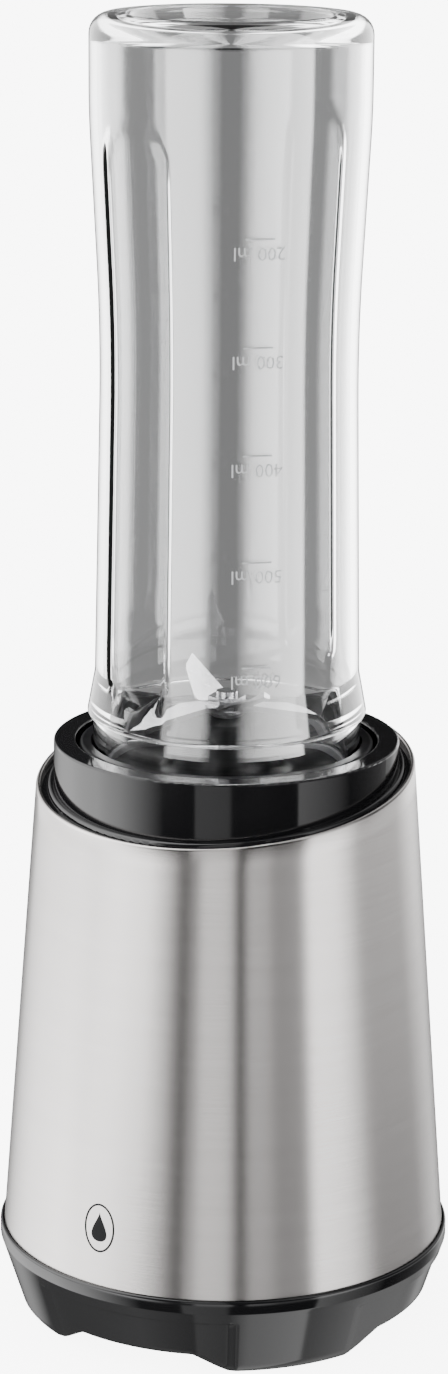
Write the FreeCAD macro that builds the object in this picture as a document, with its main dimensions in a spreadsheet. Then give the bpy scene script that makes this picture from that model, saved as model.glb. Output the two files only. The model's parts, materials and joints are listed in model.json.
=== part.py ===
import FreeCAD, Part
import math
import os
import re
import Sketcher

# Countertop blender: a motor base with a clear bottle standing upside down in its collar.
# Millimetres. The origin is at the base's centre on the worktop, +Z is up and -Y is the front.

os.makedirs("parts", exist_ok=True)
Vector = FreeCAD.Vector
doc = FreeCAD.newDocument("CountertopBlender")

# ---------------------------------------------------------------- driving dimensions

SIZES = {
    # foot ring
    "ground_inset": 6.5,
    "lip_wall": 0.85,
    "lip_depth": 3.2,
    "crease_height": 19.3,
    "crease_step": 0.5,
    "seat_rise": 2.1,
    "skirt_wall": 2.4,
    "sole_gap": 0.8,
    "floor_height": 8,
    "floor_thickness": 2.6,
    "arch_height": 6,
    "arch_width": 52,
    "arch_slope": 9,
    "arch_relief": 0.7,
    "arch_angle": 55,
    "relief_drop": 2,
    "foot_angle": 30,
    "foot_gap": 4.4,
    "pad_angle": 24,
    "pad_depth": 1.2,
    "pad_margin": 1.6,
    # steel shell
    "steel_taper": 4.32,
    "steel_wall": 0.8,
    "rim_tilt": 8.5,
    "shell_gap": 0.1,
    # top housing
    "ledge_width": 4.756,
    "ledge_drop": 1.6,
    "ledge_thickness": 3,
    "ledge_skirt": 21,
    "ledge_skirt_wall": 2,
    "bead_radius": 1.3,
    "collar_lift": 0.7,
    "collar_rise": 9.1,
    "collar_gap": 1.4,
    "collar_wall": 2.4,
    "collar_edge": 0.6,
    "well_gap": 1.1,
    "well_wall": 2.4,
    "cup_depth": 14,
    "cup_clearance": 2.6,
    "splash_rim": 3,
    "splash_wall": 2,
    "web_reach": 1.3,
    "web_width": 6,
    "web_height": 8,
    # posts and screws
    "post_offset": 3.5,
    "post_gap": 1,
    "post_radius": 4,
    "post_angle": 20,
    "post_lift": 6.4,
    "seat_wall": 1.4,
    "screw_seat": 4,
    "screw_radius": 1.9,
    "screw_head": 3.6,
    "screw_head_height": 2.6,
    "screw_clearance": 0.2,
    "screw_reach": 16,
    "thread_squeeze": 0.02,
    "pilot_depth": 20,
    "small_screw_radius": 1.1,
    "small_screw_head": 2.3,
    "small_head_height": 1.5,
    "small_screw_reach": 5,
    # press ring
    "press_travel": 2.5,
    "press_gap": 1,
    "ring_thickness": 3,
    "ring_width": 7.4,
    "leg_inset": 3.8,
    "leg_radius": 2.6,
    "leg_length": 16,
    "running_gap": 0.05,
    "spring_radius": 3.5,
    "spring_wire": 0.4,
    "spring_turns": 5,
    "pocket_gap": 0.4,
    "pocket_wall": 1.2,
    "pocket_depth": 12,
    # motor
    "shaft_radius": 4,
    "shaft_stub": 0.5,
    "motor_clearance": 2.9,
    "plate_thickness": 3,
    "plate_margin": 1.08,
    "plate_gap": 5,
    "stator_stack": 32,
    "stator_yoke": 5,
    "stator_corner": 6,
    "rotor_depth": 12.7,
    "rotor_slot_width": 1.6,
    "rotor_slot_depth": 5,
    "air_gap": 0.5,
    "pole_lap": 2.2,
    "window_width": 9.5,
    "window_margin": 2.1,
    "coil_end": 6.6,
    "coil_gap": 2.9,
    "coil_play": 0.5,
    "coil_step": 0.4,
    "bolt_inset": 6.5,
    "bolt_radius": 1.95,
    "bolt_play": 0.1,
    "bolt_head": 3.05,
    "bolt_head_height": 2.4,
    "column_radius": 3.6,
    "bearing_wall": 7,
    "bearing_height": 7,
    "lower_bearing_wall": 5,
    "bearing_squeeze": 0.01,
    "cup_wall": 2.5,
    "cup_rim": 1,
    "vent_radius": 4,
    "vent_offset": 9.5,
    "isolator_offset": 5.5,
    "isolator_radius": 5,
    "isolator_height": 6,
    "isolator_reach": 10,
    "arm_start": 20,
    "commutator_lift": 1.5,
    "commutator_height": 12.5,
    "commutator_wall": 7,
    "bar_gap_width": 0.5,
    "bar_gap_depth": 0.8,
    "brush_size": 6,
    "brush_length": 12,
    "brush_gap": 0.1,
    "brush_space": 2.6,
    "brush_spring_radius": 2.2,
    "brush_spring_wire": 0.35,
    "brush_block_margin": 0.9,
    "brush_block_wall": 2,
    "brush_block_width": 12,
    "fan_gap": 2.4,
    "fan_height": 12,
    "fan_disc": 1.4,
    "fan_vane": 1.3,
    "fan_radius": 23,
    "fan_hub_wall": 3.5,
    # electrics
    "board_lift": 5,
    "board_side": 14,
    "board_end": 2,
    "board_shift": 4,
    "board_thickness": 1.6,
    "board_hole_inset": 3.5,
    "standoff_radius": 2.4,
    "rectifier_size": 10,
    "rectifier_height": 4.5,
    "rectifier_place": 18,
    "capacitor_length": 13,
    "capacitor_width": 7,
    "capacitor_height": 7,
    "capacitor_place": 8,
    "component_inset": 6,
    "fuse_radius": 1.8,
    "fuse_length": 12,
    "cover_gap": 0.6,
    "cover_edge": 3,
    "cover_lap": 2.6,
    "cover_boss_wall": 1.8,
    "cover_boss_height": 4.5,
    "cover_vent_start": 15,
    "cover_vent_rim": 2,
    "cover_vent_width": 2.2,
    "gland_lift": 4.4,
    "gland_radius": 5,
    "gland_bore": 3.4,
    "gland_reach": 4.3,
    "gland_flange": 6.2,
    "gland_flange_thickness": 2,
    "gland_stand": 1.4,
    "gland_block_width": 18,
    "clamp_space": 7,
    "clamp_width": 6,
    "clamp_end": 2.6,
    "clamp_thickness": 2.4,
    "clamp_boss_wall": 1.5,
    "switch_width": 6.4,
    "switch_length": 20,
    "switch_inset": 14,
    "switch_height": 8.6,
    "switch_floor": 1.4,
    "switch_play": 0.6,
    "switch_lift": 1,
    "switch_side": 1,
    "plunger_radius": 1.6,
    # drive
    "coupling_wall": 3.6,
    "coupling_space": 2.5,
    "coupling_lift": 1.3,
    "coupling_gap": 0.2,
    "socket_depth": 6.5,
    "socket_gap": 1,
    "spline_wall": 1.6,
    "spline_height": 2,
    "spline_tooth": 3,
    "spline_gap": 0.3,
    "driven_flange": 0.8,
    "driven_rim": 1,
    "clip_space": 0.5,
    "clip_thickness": 0.8,
    "clip_width": 1.6,
    "shaft_seal_wall": 3.5,
    # blade unit
    "holder_wall": 3.2,
    "holder_depth": 7.9,
    "holder_floor": 3,
    "holder_rise": 3,
    "hub_wall": 6.8,
    "hub_rise": 11.5,
    "hub_lift": 0.7,
    "hub_foot": 5,
    "blade_shaft_radius": 3,
    "bush_wall": 2.2,
    "blade_seal_height": 2.6,
    "key_width": 6,
    "key_depth": 2.4,
    "key_lap": 2,
    "key_inset": 0.6,
    "key_play": 0.5,
    "seal_thickness": 2,
    "seal_lap": 1,
    "washer_height": 0.9,
    "washer_lift": 1.2,
    "blade_thickness": 1.5,
    "blade_width": 12,
    "upper_blade_gap": 10.3,
    "upper_blade_rise": 11,
    "upper_blade_angle": -40,
    "lower_blade_gap": 6.3,
    "lower_blade_drop": 6,
    "lower_blade_angle": 35,
    "blade_hub_wall": 4,
    "nut_wall": 1.6,
    "nut_height": 4.2,
    "shaft_end": 1.5,
    # bottle
    "neck_radius": 37.6,
    "neck_gap": 0.6,
    "neck_wall": 3.3,
    "neck_show": 8,
    "bottle_wall": 2.3,
    "bottle_length": 208.1,
    "shoulder_step": 1.8,
    "shoulder_rise": 12.6,
    "low_step": 2.35,
    "waist_step": 1.7,
    "waist_drop": 86.6,
    "end_step": 3.1,
    "taper_drop": 26.6,
    "body_curve": 550,
    "end_edge": 5.5,
    "end_recess": 4,
    "end_rim": 10.45,
    "grip_depth": 0.7,
    "grip_width": 25,
    "grip_lift": 5.6,
    "grip_drop": 26.6,
    "grip_angle": 70,
}

# Sizes that follow from the ones above, so that what fits together stays together.
TIED = {
    # radii, from the bottle's neck outwards
    "holder_radius": "neck_radius + neck_gap + holder_wall",
    "well_radius": "holder_radius + well_gap",
    "collar_radius": "well_radius + well_wall + collar_gap + collar_wall",
    "rim_radius": "collar_radius + ledge_width",
    "steel_radius": "rim_radius + (rim_height - steel_seat) * tan(steel_taper)",
    "lip_radius": "steel_radius + shell_gap + lip_wall",
    "ground_radius": "lip_radius - ground_inset",
    "ring_outer_radius": "well_radius - well_gap",
    "ring_inner_radius": "ring_outer_radius - ring_width",
    "leg_circle": "ring_outer_radius - leg_inset",
    "pocket_radius": "spring_radius + spring_wire + pocket_gap",
    "post_circle": "max(well_radius + post_offset; plate_radius + post_radius + post_gap)",
    "cover_radius": "post_circle - screw_head - screw_clearance - cover_gap",
    "cover_circle": "cover_radius - cover_edge",
    "floor_hole_radius": "cover_circle - cover_lap",
    "foot_inner_radius": "cover_radius + foot_gap",
    # radii, from the shafts outwards
    "bearing_radius": "shaft_radius + bearing_wall",
    "lower_bearing_radius": "shaft_radius + lower_bearing_wall",
    "commutator_radius": "shaft_radius + commutator_wall",
    "rotor_radius": "shaft_radius + rotor_depth",
    "fan_hub": "shaft_radius + fan_hub_wall",
    "shaft_seal_radius": "shaft_radius + shaft_seal_wall",
    "pole_half_width": "rotor_radius - pole_lap",
    "window_reach": "pole_half_width + window_width",
    "window_half_height": "rotor_radius + window_margin",
    "stator_width": "2 * (window_reach + stator_yoke)",
    "bolt_place": "stator_width / 2 - bolt_inset",
    "plate_radius": "bolt_place * sqrt(2) + column_radius + plate_margin",
    "isolator_circle": "plate_radius + isolator_offset",
    "brush_block_start": "commutator_radius + brush_space",
    "brush_block_length": "plate_radius - brush_block_margin - brush_block_start",
    "spline_root": "shaft_radius + spline_wall",
    "spline_tip": "spline_root + spline_height",
    "coupling_radius": "spline_tip + spline_gap + coupling_wall",
    "cup_radius": "coupling_radius + coupling_space",
    "bush_radius": "blade_shaft_radius + bush_wall",
    "holder_hub": "bush_radius + hub_wall",
    "blade_hub": "blade_shaft_radius + blade_hub_wall",
    "nut_size": "blade_shaft_radius + nut_wall",
    "upper_blade_reach": "neck_radius - neck_wall - upper_blade_gap",
    "lower_blade_reach": "neck_radius - neck_wall - lower_blade_gap",
    # radii of the bottle
    "bottle_shoulder_radius": "neck_radius + shoulder_step",
    "bottle_low_radius": "bottle_shoulder_radius - low_step",
    "bottle_waist_radius": "bottle_low_radius - waist_step",
    "bottle_end_radius": "bottle_waist_radius + end_step",
    "end_ring_radius": "bottle_end_radius - end_rim",
    # the board, inside the floor's hole
    "board_width": "2 * (floor_hole_radius - board_side)",
    "board_depth": "floor_hole_radius - board_end",
    # heights, from the floor up
    "floor_top": "floor_height + floor_thickness",
    "steel_seat": "crease_height + seat_rise",
    "lip_height": "steel_seat + lip_depth",
    "post_foot": "floor_top + post_lift",
    "gland_height": "floor_top + gland_lift",
    "board_height": "floor_height + board_lift",
    "board_top": "board_height + board_thickness",
    "shaft_bottom": "board_top + capacitor_height + motor_clearance",
    "lower_plate": "shaft_bottom + shaft_stub + bearing_height",
    "commutator_bottom": "lower_plate + plate_thickness + commutator_lift",
    "brush_block_top": "commutator_bottom + commutator_height + commutator_lift",
    "stator_bottom": "brush_block_top + coil_gap + coil_end",
    "stator_top": "stator_bottom + stator_stack",
    "fan_bottom": "stator_top + coil_end + fan_gap",
    "upper_plate": "fan_bottom + fan_height + plate_gap",
    "bearing_seat": "upper_plate + plate_thickness",
    "cup_floor": "bearing_seat + bearing_height + cup_clearance + well_wall",
    "well_floor": "cup_floor + cup_depth",
    "well_floor_bottom": "well_floor - well_wall",
    "ring_bottom": "well_floor + press_travel + press_gap",
    "ring_top": "ring_bottom + ring_thickness",
    "driven_top": "ring_top - clip_space",
    "coupling_top": "driven_top - driven_flange - press_travel - coupling_gap",
    "driven_bottom": "coupling_top - socket_depth + press_travel + socket_gap",
    "holder_floor_bottom": "ring_top + holder_rise",
    "holder_floor_top": "holder_floor_bottom + holder_floor",
    "holder_top": "holder_floor_top + holder_depth",
    "hub_bottom": "ring_top + hub_lift",
    "hub_top": "holder_floor_top + hub_rise",
    "collar_height": "holder_top + collar_lift",
    "rim_height": "collar_height - collar_rise",
    "neck_bottom": "holder_floor_top + seal_thickness",
    "shoulder_height": "holder_top + neck_show",
    "low_height": "shoulder_height + shoulder_rise",
    "bottle_height": "neck_bottom + bottle_length",
    "waist_height": "bottle_height - waist_drop",
    "taper_height": "bottle_height - taper_drop",
    "grip_bottom": "shoulder_height + grip_lift",
    "grip_top": "bottle_height - grip_drop",
}

sheet = doc.addObject("Spreadsheet::Sheet", "size")
for row, (name, value) in enumerate(SIZES.items(), start=1):
    sheet.set(f"A{row}", name)
    sheet.set(f"B{row}", str(value))
    sheet.setAlias(f"B{row}", name)
doc.recompute()


def full(expression):
    """The expression with tied names written out and every size's name led by the sheet's."""
    def spell(word):
        name = word[0]
        if name in TIED:
            return f"({full(TIED[name])})"
        return f"size.{name}" if name in SIZES else name
    return re.sub(r"[a-z][a-z0-9_]*", spell, str(expression))


def number(expression):
    return float(sheet.evalExpression(full(expression)))


def bind(thing, place, expression):
    thing.setExpression(place, full(expression))


# ---------------------------------------------------------------- sketches and bodies

def unit(start, end):
    return end.sub(start).normalize()


def drawOutline(sketch, corners):
    """A closed outline. A corner is (x, y) or (x, y, radius), each an expression."""
    points = [Vector(number(corner[0]), number(corner[1]), 0) for corner in corners]
    count = len(corners)
    trims = []
    for i, corner in enumerate(corners):
        point = points[i]
        if len(corner) == 2:
            trims.append((point, point, None))
            continue
        radius = number(corner[2])
        back, ahead = unit(point, points[i - 1]), unit(point, points[(i + 1) % count])
        half = back.getAngle(ahead) / 2
        run = radius / math.tan(half)
        middle = unit(Vector(0, 0, 0), back.add(ahead)).multiply(radius / math.sin(half))
        trims.append((point.add(Vector(back).multiply(run)), point.add(Vector(ahead).multiply(run)),
                      point.add(middle)))
    lines = [sketch.addGeometry(Part.LineSegment(trims[i][1], trims[(i + 1) % count][0]))
             for i in range(count)]
    for i, corner in enumerate(corners):
        start, end, centre = trims[i]
        before, after = lines[i - 1], lines[i]
        if centre is None:
            addRule(sketch, "Coincident", before, 2, after, 1)
            target = (after, 1)
        else:
            fromAngle = math.atan2(start.y - centre.y, start.x - centre.x)
            toAngle = math.atan2(end.y - centre.y, end.x - centre.x)
            turnsLeft = start.sub(centre).cross(end.sub(centre)).z > 0
            circle = Part.Circle(centre, Vector(0, 0, 1), number(corner[2]))
            angles = (fromAngle, toAngle) if turnsLeft else (toAngle, fromAngle)
            arc = sketch.addGeometry(Part.ArcOfCircle(circle, *angles))
            first, last = (1, 2) if turnsLeft else (2, 1)
            addRule(sketch, "Tangent", before, 2, arc, first)
            addRule(sketch, "Tangent", arc, last, after, 1)
            addSize(sketch, "Radius", corner[2], arc)
            mark = sketch.addGeometry(Part.Point(points[i]), True)
            addRule(sketch, "PointOnObject", mark, 1, before)
            addRule(sketch, "PointOnObject", mark, 1, after)
            target = (mark, 1)
        pinPoint(sketch, target, corner[0], corner[1])


def addRule(sketch, kind, *where):
    return sketch.addConstraint(Sketcher.Constraint(kind, *where))


def addSize(sketch, kind, expression, *where):
    index = addRule(sketch, kind, *where, number(expression))
    bind(sketch, f"Constraints[{index}]", expression)


def pinPoint(sketch, target, x, y):
    """Hold a point at (x, y) from the sketch's origin."""
    for kind, value, axis in (("DistanceX", x, -2), ("DistanceY", y, -1)):
        if str(value) == "0":
            addRule(sketch, "PointOnObject", *target, axis)
        else:
            addSize(sketch, kind, value, -1, 1, *target)


def drawCircle(sketch, x, y, radius):
    centre = Vector(number(x), number(y), 0)
    circle = sketch.addGeometry(Part.Circle(centre, Vector(0, 0, 1), number(radius)))
    addSize(sketch, "Radius", radius, circle)
    pinPoint(sketch, (circle, 3), x, y)


def newBody(name):
    return doc.addObject("PartDesign::Body", name)


def newSketch(body, plane="XZ_Plane", offset="0"):
    sketch = body.newObject("Sketcher::SketchObject", body.Name + "_sketch")
    origin = [feature for feature in body.Origin.OriginFeatures if feature.Role == plane][0]
    sketch.AttachmentSupport = (origin, [""])
    sketch.MapMode = "FlatFace"
    if offset != "0":
        bind(sketch, "AttachmentOffset.Base.z", offset)
    return sketch


def revolve(name, *outlines):
    """A body turned about Z from closed outlines of (radius, height) corners."""
    body = newBody(name)
    for outline in outlines:
        sketch = newSketch(body)
        drawOutline(sketch, outline)
        turned = body.newObject("PartDesign::Revolution", name + "_turned")
        turned.Profile = sketch
        turned.ReferenceAxis = (sketch, ["V_Axis"])
        turned.Angle = 360
    return body


def pad(name, outlines, bottom, height, plane="XY_Plane"):
    """A body padded along its plane's normal from outlines or (x, y, radius) circles."""
    body = newBody(name)
    sketch = newSketch(body, plane, bottom)
    for outline in outlines:
        if isinstance(outline, tuple):
            drawCircle(sketch, *outline)
        else:
            drawOutline(sketch, outline)
    feature = body.newObject("PartDesign::Pad", name + "_pad")
    feature.Profile = sketch
    bind(feature, "Length", height)
    return body


def helix(name, radius, wire, height, turns):
    """A coil spring about Z standing on the height 0."""
    body = newBody(name)
    sketch = newSketch(body)
    drawCircle(sketch, radius, wire, wire)
    coil = body.newObject("PartDesign::AdditiveHelix", name + "_coil")
    coil.Profile = sketch
    coil.ReferenceAxis = (sketch, ["V_Axis"])
    coil.Mode = 1
    bind(coil, "Height", f"({height}) - 2 * ({wire})")
    bind(coil, "Turns", turns)
    bind(coil, "Pitch", f"(({height}) - 2 * ({wire})) / ({turns})")
    return body


# ---------------------------------------------------------------- primitives and booleans

TURNS = {
    "Z": FreeCAD.Rotation(),
    "X": FreeCAD.Rotation(Vector(0, 1, 0), 90),
    "Y": FreeCAD.Rotation(Vector(1, 0, 0), -90),
}


def place(thing, x="0", y="0", z="0"):
    for axis, value in zip("xyz", (x, y, z)):
        bind(thing, f"Placement.Base.{axis}", value)
    return thing


def cylinder(name, radius, height, x="0", y="0", z="0", along="Z", angle=None):
    """A cylinder whose axis starts at (x, y, z); angle makes it a slice of a pie."""
    thing = doc.addObject("Part::Cylinder", name)
    bind(thing, "Radius", radius)
    bind(thing, "Height", height)
    if angle:
        bind(thing, "Angle", angle)
    thing.Placement = FreeCAD.Placement(Vector(), TURNS[along])
    return place(thing, x, y, z)


def tube(name, outer, inner, height, x="0", y="0", z="0", along="Z"):
    return cut(name, cylinder(name + "_outer", outer, height, x, y, z, along),
               cylinder(name + "_bore", inner, height, x, y, z, along))


def box(name, length, width, height, x="0", y="0", z="0"):
    """A box from x along X, centred on y, standing on z."""
    thing = doc.addObject("Part::Box", name)
    bind(thing, "Length", length)
    bind(thing, "Width", width)
    bind(thing, "Height", height)
    return place(thing, x, f"({y}) - ({width}) / 2", z)


def polarBox(name, angle, start, length, width, height, z="0"):
    """A box from the radius start outwards at an angle about Z."""
    thing = doc.addObject("Part::Box", name)
    bind(thing, "Length", length)
    bind(thing, "Width", width)
    bind(thing, "Height", height)
    thing.Placement = FreeCAD.Placement(Vector(), FreeCAD.Rotation(Vector(0, 0, 1), 1))
    bind(thing, "Placement.Rotation.Angle", angle)
    along = f"({start}) * cos({angle}) + ({width}) / 2 * sin({angle})"
    across = f"({start}) * sin({angle}) - ({width}) / 2 * cos({angle})"
    return place(thing, along, across, z)


def polarCylinder(name, angle, circle, radius, height, z="0"):
    return cylinder(name, radius, height, f"({circle}) * cos({angle})", f"({circle}) * sin({angle})", z)


def turnedCopy(name, thing, angle):
    """The same shape turned about Z."""
    copy = doc.addObject("Part::Compound", name)
    copy.Links = [thing]
    copy.Placement = FreeCAD.Placement(Vector(), FreeCAD.Rotation(Vector(0, 0, 1), angle))
    return copy


def fuse(name, *things):
    if len(things) == 1:
        return things[0]
    joined = doc.addObject("Part::MultiFuse", name)
    joined.Shapes = list(things)
    joined.Refine = True
    return joined


def cut(name, base, *tools):
    result = doc.addObject("Part::Cut", name)
    result.Base = base
    result.Tool = fuse(name + "_tools", *tools)
    result.Refine = True
    return result


def common(name, *things):
    shared = doc.addObject("Part::MultiCommon", name)
    shared.Shapes = list(things)
    return shared


def group(name, *things):
    gathered = doc.addObject("Part::Compound", name)
    gathered.Links = list(things)
    return gathered


nodes = {}


def node(name, thing):
    """Keep a finished piece: its label is its file's name."""
    thing.Label = name
    nodes[name] = thing
    return thing


def screw(name, shank, head, headHeight, reach, x, y, z):
    """A screw with its head's outer face at z and its shank pointing up."""
    return fuse(name, cylinder(name + "_head", head, headHeight, x, y, z),
                cylinder(name + "_shank", shank, reach, x, y, z))


def onCircle(circle, angle):
    return f"({circle}) * cos({angle})", f"({circle}) * sin({angle})"


# ---------------------------------------------------------------- heights and radii used by several pieces

creaseRadius = "(lip_radius - crease_step)"
lipInside = "(steel_radius + shell_gap)"


def steelOutside(height):
    """The steel cone's outer radius at a height."""
    return f"(steel_radius - (({height}) - steel_seat) * tan(steel_taper))"


def skirtOutside(height):
    """The foot ring's outer radius at a height below the crease."""
    share = f"((({height}) - sole_gap) / (crease_height - sole_gap))"
    return f"(ground_radius + ({creaseRadius} - ground_radius) * {share})"


postAngles = [f"(post_angle + {90 * quarter})" for quarter in range(4)]
footAngles = [45, 135, 225, 315]
legAngles = [60, 180, 300]
springAngles = [0, 120, 240]
keyAngles = [30, 150, 270]
boltPlaces = [(x, y) for x in ("bolt_place", "-bolt_place") for y in ("bolt_place", "-bolt_place")]
stretch = "(2 * lip_radius)"


def tiltedSlab(name, height, thickness):
    """A wide slab lying on the tilted plane that crosses the axis at a height."""
    slab = doc.addObject("Part::Box", name)
    for side in ("Length", "Width"):
        bind(slab, side, f"2 * {stretch}")
    bind(slab, "Height", thickness)
    slab.Placement = FreeCAD.Placement(Vector(), FreeCAD.Rotation(Vector(1, 0, 0), 1))
    bind(slab, "Placement.Rotation.Angle", "rim_tilt")
    return place(slab, f"-{stretch}", f"-{stretch} * cos(rim_tilt)",
                 f"({height}) - {stretch} * sin(rim_tilt)")


# ---------------------------------------------------------------- foot

def makeBaseSkirt():
    ring = revolve("skirt_ring", [
        ("ground_radius", "sole_gap"),
        (creaseRadius, "crease_height"),
        ("lip_radius", "crease_height + 3 * crease_step"),
        ("lip_radius", "lip_height", "crease_step"),
        (lipInside, "lip_height"),
        (lipInside, "steel_seat"),
        (f"{lipInside} - 2 * steel_wall", "steel_seat"),
        (f"{creaseRadius} - skirt_wall", "crease_height"),
        (f"{skirtOutside('floor_top')} - skirt_wall", "floor_top"),
        ("floor_hole_radius", "floor_top"),
        ("floor_hole_radius", "floor_height"),
        (f"{skirtOutside('floor_height')} - skirt_wall", "floor_height"),
        ("ground_radius - skirt_wall", "sole_gap"),
    ])
    relief = newSketch(ring)
    reliefTop = "(crease_height - relief_drop)"
    drawOutline(relief, [
        (f"{skirtOutside('0')} - arch_relief", "0"),
        ("lip_radius + ground_inset", "0"),
        ("lip_radius + ground_inset", reliefTop),
        (f"{skirtOutside(reliefTop)} - arch_relief", reliefTop),
    ])
    groove = ring.newObject("PartDesign::Groove", "arch_relief_cut")
    groove.Profile = relief
    groove.ReferenceAxis = (relief, ["V_Axis"])
    groove.Midplane = True
    bind(groove, "Angle", "arch_angle")
    around = ring.newObject("PartDesign::PolarPattern", "arch_relief_pattern")
    around.Originals = [groove]
    around.Axis = (relief, ["V_Axis"])
    around.Angle = 360
    around.Occurrences = 4
    ring.Tip = around
    arch = pad("arch", [[
        ("-arch_width / 2", "-sole_gap"),
        ("arch_width / 2", "-sole_gap"),
        ("arch_width / 2", "sole_gap"),
        ("arch_width / 2 - arch_slope", "arch_height", "arch_slope / 2"),
        ("arch_slope - arch_width / 2", "arch_height", "arch_slope / 2"),
        ("-arch_width / 2", "sole_gap"),
    ]], f"-{stretch}", f"2 * {stretch}", "XZ_Plane")
    opened = cut("skirt_arched", ring, arch, turnedCopy("arch_across", arch, 90))
    blocks = [polarSector(f"foot_block_{angle}", angle, "foot_angle", "foot_inner_radius",
                          "ground_radius - pad_margin / 2", "sole_gap", "floor_height")
              for angle in footAngles]
    recesses = [polarSector(f"pad_recess_{angle}", angle, "pad_angle", "foot_inner_radius + pad_margin",
                            "ground_radius - skirt_wall - pad_margin / 2", "0", "sole_gap + pad_depth")
                for angle in footAngles]
    seats = [polarCylinder(f"screw_seat_{i}", angle, "post_circle", "post_radius + seat_wall",
                           "post_lift", "floor_top") for i, angle in enumerate(postAngles)]
    headHoles = [polarCylinder(f"head_hole_{i}", angle, "post_circle", "screw_head + screw_clearance",
                               "post_foot - screw_seat", "0")
                 for i, angle in enumerate(postAngles)]
    shankHoles = [polarCylinder(f"shank_hole_{i}", angle, "post_circle", "screw_radius + screw_clearance",
                                "post_foot", "floor_height")
                  for i, angle in enumerate(postAngles)]
    coverBosses = [polarCylinder(f"cover_boss_{angle}", angle, "cover_circle",
                                 "small_screw_radius + cover_boss_wall",
                                 "cover_boss_height", "floor_top") for angle in coverAngles]
    pilots = [polarCylinder(f"cover_pilot_{angle}", angle, "cover_circle", "small_screw_radius",
                            "floor_thickness + cover_boss_height - thread_squeeze", "floor_height")
              for angle in coverAngles]
    blockEnd = f"({skirtOutside('gland_height')} - steel_wall)"
    glandBlock = box("gland_block", "gland_block_width", f"{blockEnd} - {glandFace}",
                     "gland_height + gland_flange - floor_height", "-gland_block_width / 2",
                     f"({blockEnd} + {glandFace}) / 2", "floor_height")
    glandHole = cylinder("gland_hole", "gland_radius", stretch, "0", glandFace, "gland_height", "Y")
    flangeHole = cylinder("gland_flange_hole", "gland_flange", "gland_flange_thickness", "0", flangeFace,
                          "gland_height", "Y")
    clampBosses = [cylinder(f"clamp_boss_{side}", "small_screw_radius + clamp_boss_wall",
                            f"{clampSeat} - floor_top", f"{side} * {clampReach}", clampPlace, "floor_top")
                   for side in (-1, 1)]
    clampPilots = [cylinder(f"clamp_pilot_{side}", "small_screw_radius", "small_screw_reach + thread_squeeze",
                            f"{side} * {clampReach}", clampPlace,
                            f"{clampSeat} - small_screw_reach - thread_squeeze") for side in (-1, 1)]
    solid = fuse("skirt_solid", opened, *blocks, *seats, *coverBosses, glandBlock, *clampBosses)
    node("base_skirt", cut("skirt", solid, *recesses, *headHoles, *shankHoles, *pilots, glandHole,
                           flangeHole, *clampPilots))


def polarSector(name, angle, span, inner, outer, bottom, top):
    """A slice of a ring, centred on an angle."""
    height = f"({top}) - ({bottom})"
    slice_ = cylinder(name + "_slice", outer, height, z=bottom, angle=span)
    bind(slice_, "Placement.Rotation.Angle", f"{angle} - ({span}) / 2")
    return cut(name, slice_, cylinder(name + "_inner", inner, height, z=bottom))


coverAngles = [30, 150, 270]
glandFace = "(ground_radius - gland_reach)"
flangeFace = f"({glandFace} - gland_flange_thickness)"
clampPlace = f"({glandFace} - clamp_space)"
clampReach = "(gland_bore + small_screw_radius + clamp_end)"
clampSeat = "(gland_height + gland_bore)"


def makeFootPads():
    pads = [polarSector(f"pad_{angle}", angle, "pad_angle", "foot_inner_radius + pad_margin",
                        "ground_radius - skirt_wall - pad_margin / 2", "0", "sole_gap + pad_depth")
            for angle in footAngles]
    node("foot_pads", group("foot_pad_group", *pads))


def makeBottomCover():
    coverBottom = "(floor_height - floor_thickness)"
    plate = cylinder("cover_plate", "cover_radius", "floor_thickness", z=coverBottom)
    standoffs = [cylinder(f"board_standoff_{i}", "standoff_radius", "board_lift", x, y, "floor_height")
                 for i, (x, y) in enumerate(boardHoles)]
    slots = [polarBox(f"vent_{angle}", angle, "cover_vent_start",
                      "floor_hole_radius - cover_vent_start - cover_vent_rim", "cover_vent_width",
                      "3 * floor_thickness", f"{coverBottom} - floor_thickness")
             for angle in range(9, 360, 18) if not 30 < angle < 150]
    holes = [polarCylinder(f"cover_hole_{angle}", angle, "cover_circle", "small_screw_radius + screw_clearance",
                           "floor_height", "0") for angle in coverAngles]
    heads = [polarCylinder(f"cover_sink_{angle}", angle, "cover_circle", "small_screw_head + screw_clearance",
                           f"small_head_height + {coverBottom}", "0") for angle in coverAngles]
    node("bottom_cover", cut("cover", fuse("cover_solid", plate, *standoffs), *slots, *holes, *heads))
    screws = [screw(f"cover_screw_{angle}", "small_screw_radius - thread_squeeze", "small_screw_head",
                    "small_head_height", "floor_thickness + cover_boss_height",
                    *onCircle("cover_circle", angle), coverBottom) for angle in coverAngles]
    node("cover_screws", group("cover_screw_group", *screws))


boardPlace = "(board_depth / 2 - board_shift)"
boardHoles = [(f"{sx} * (board_width / 2 - board_hole_inset)",
               f"{boardPlace} + {sy} * (board_depth / 2 - board_hole_inset)")
              for sx in (-1, 1) for sy in (-1, 1)]


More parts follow.
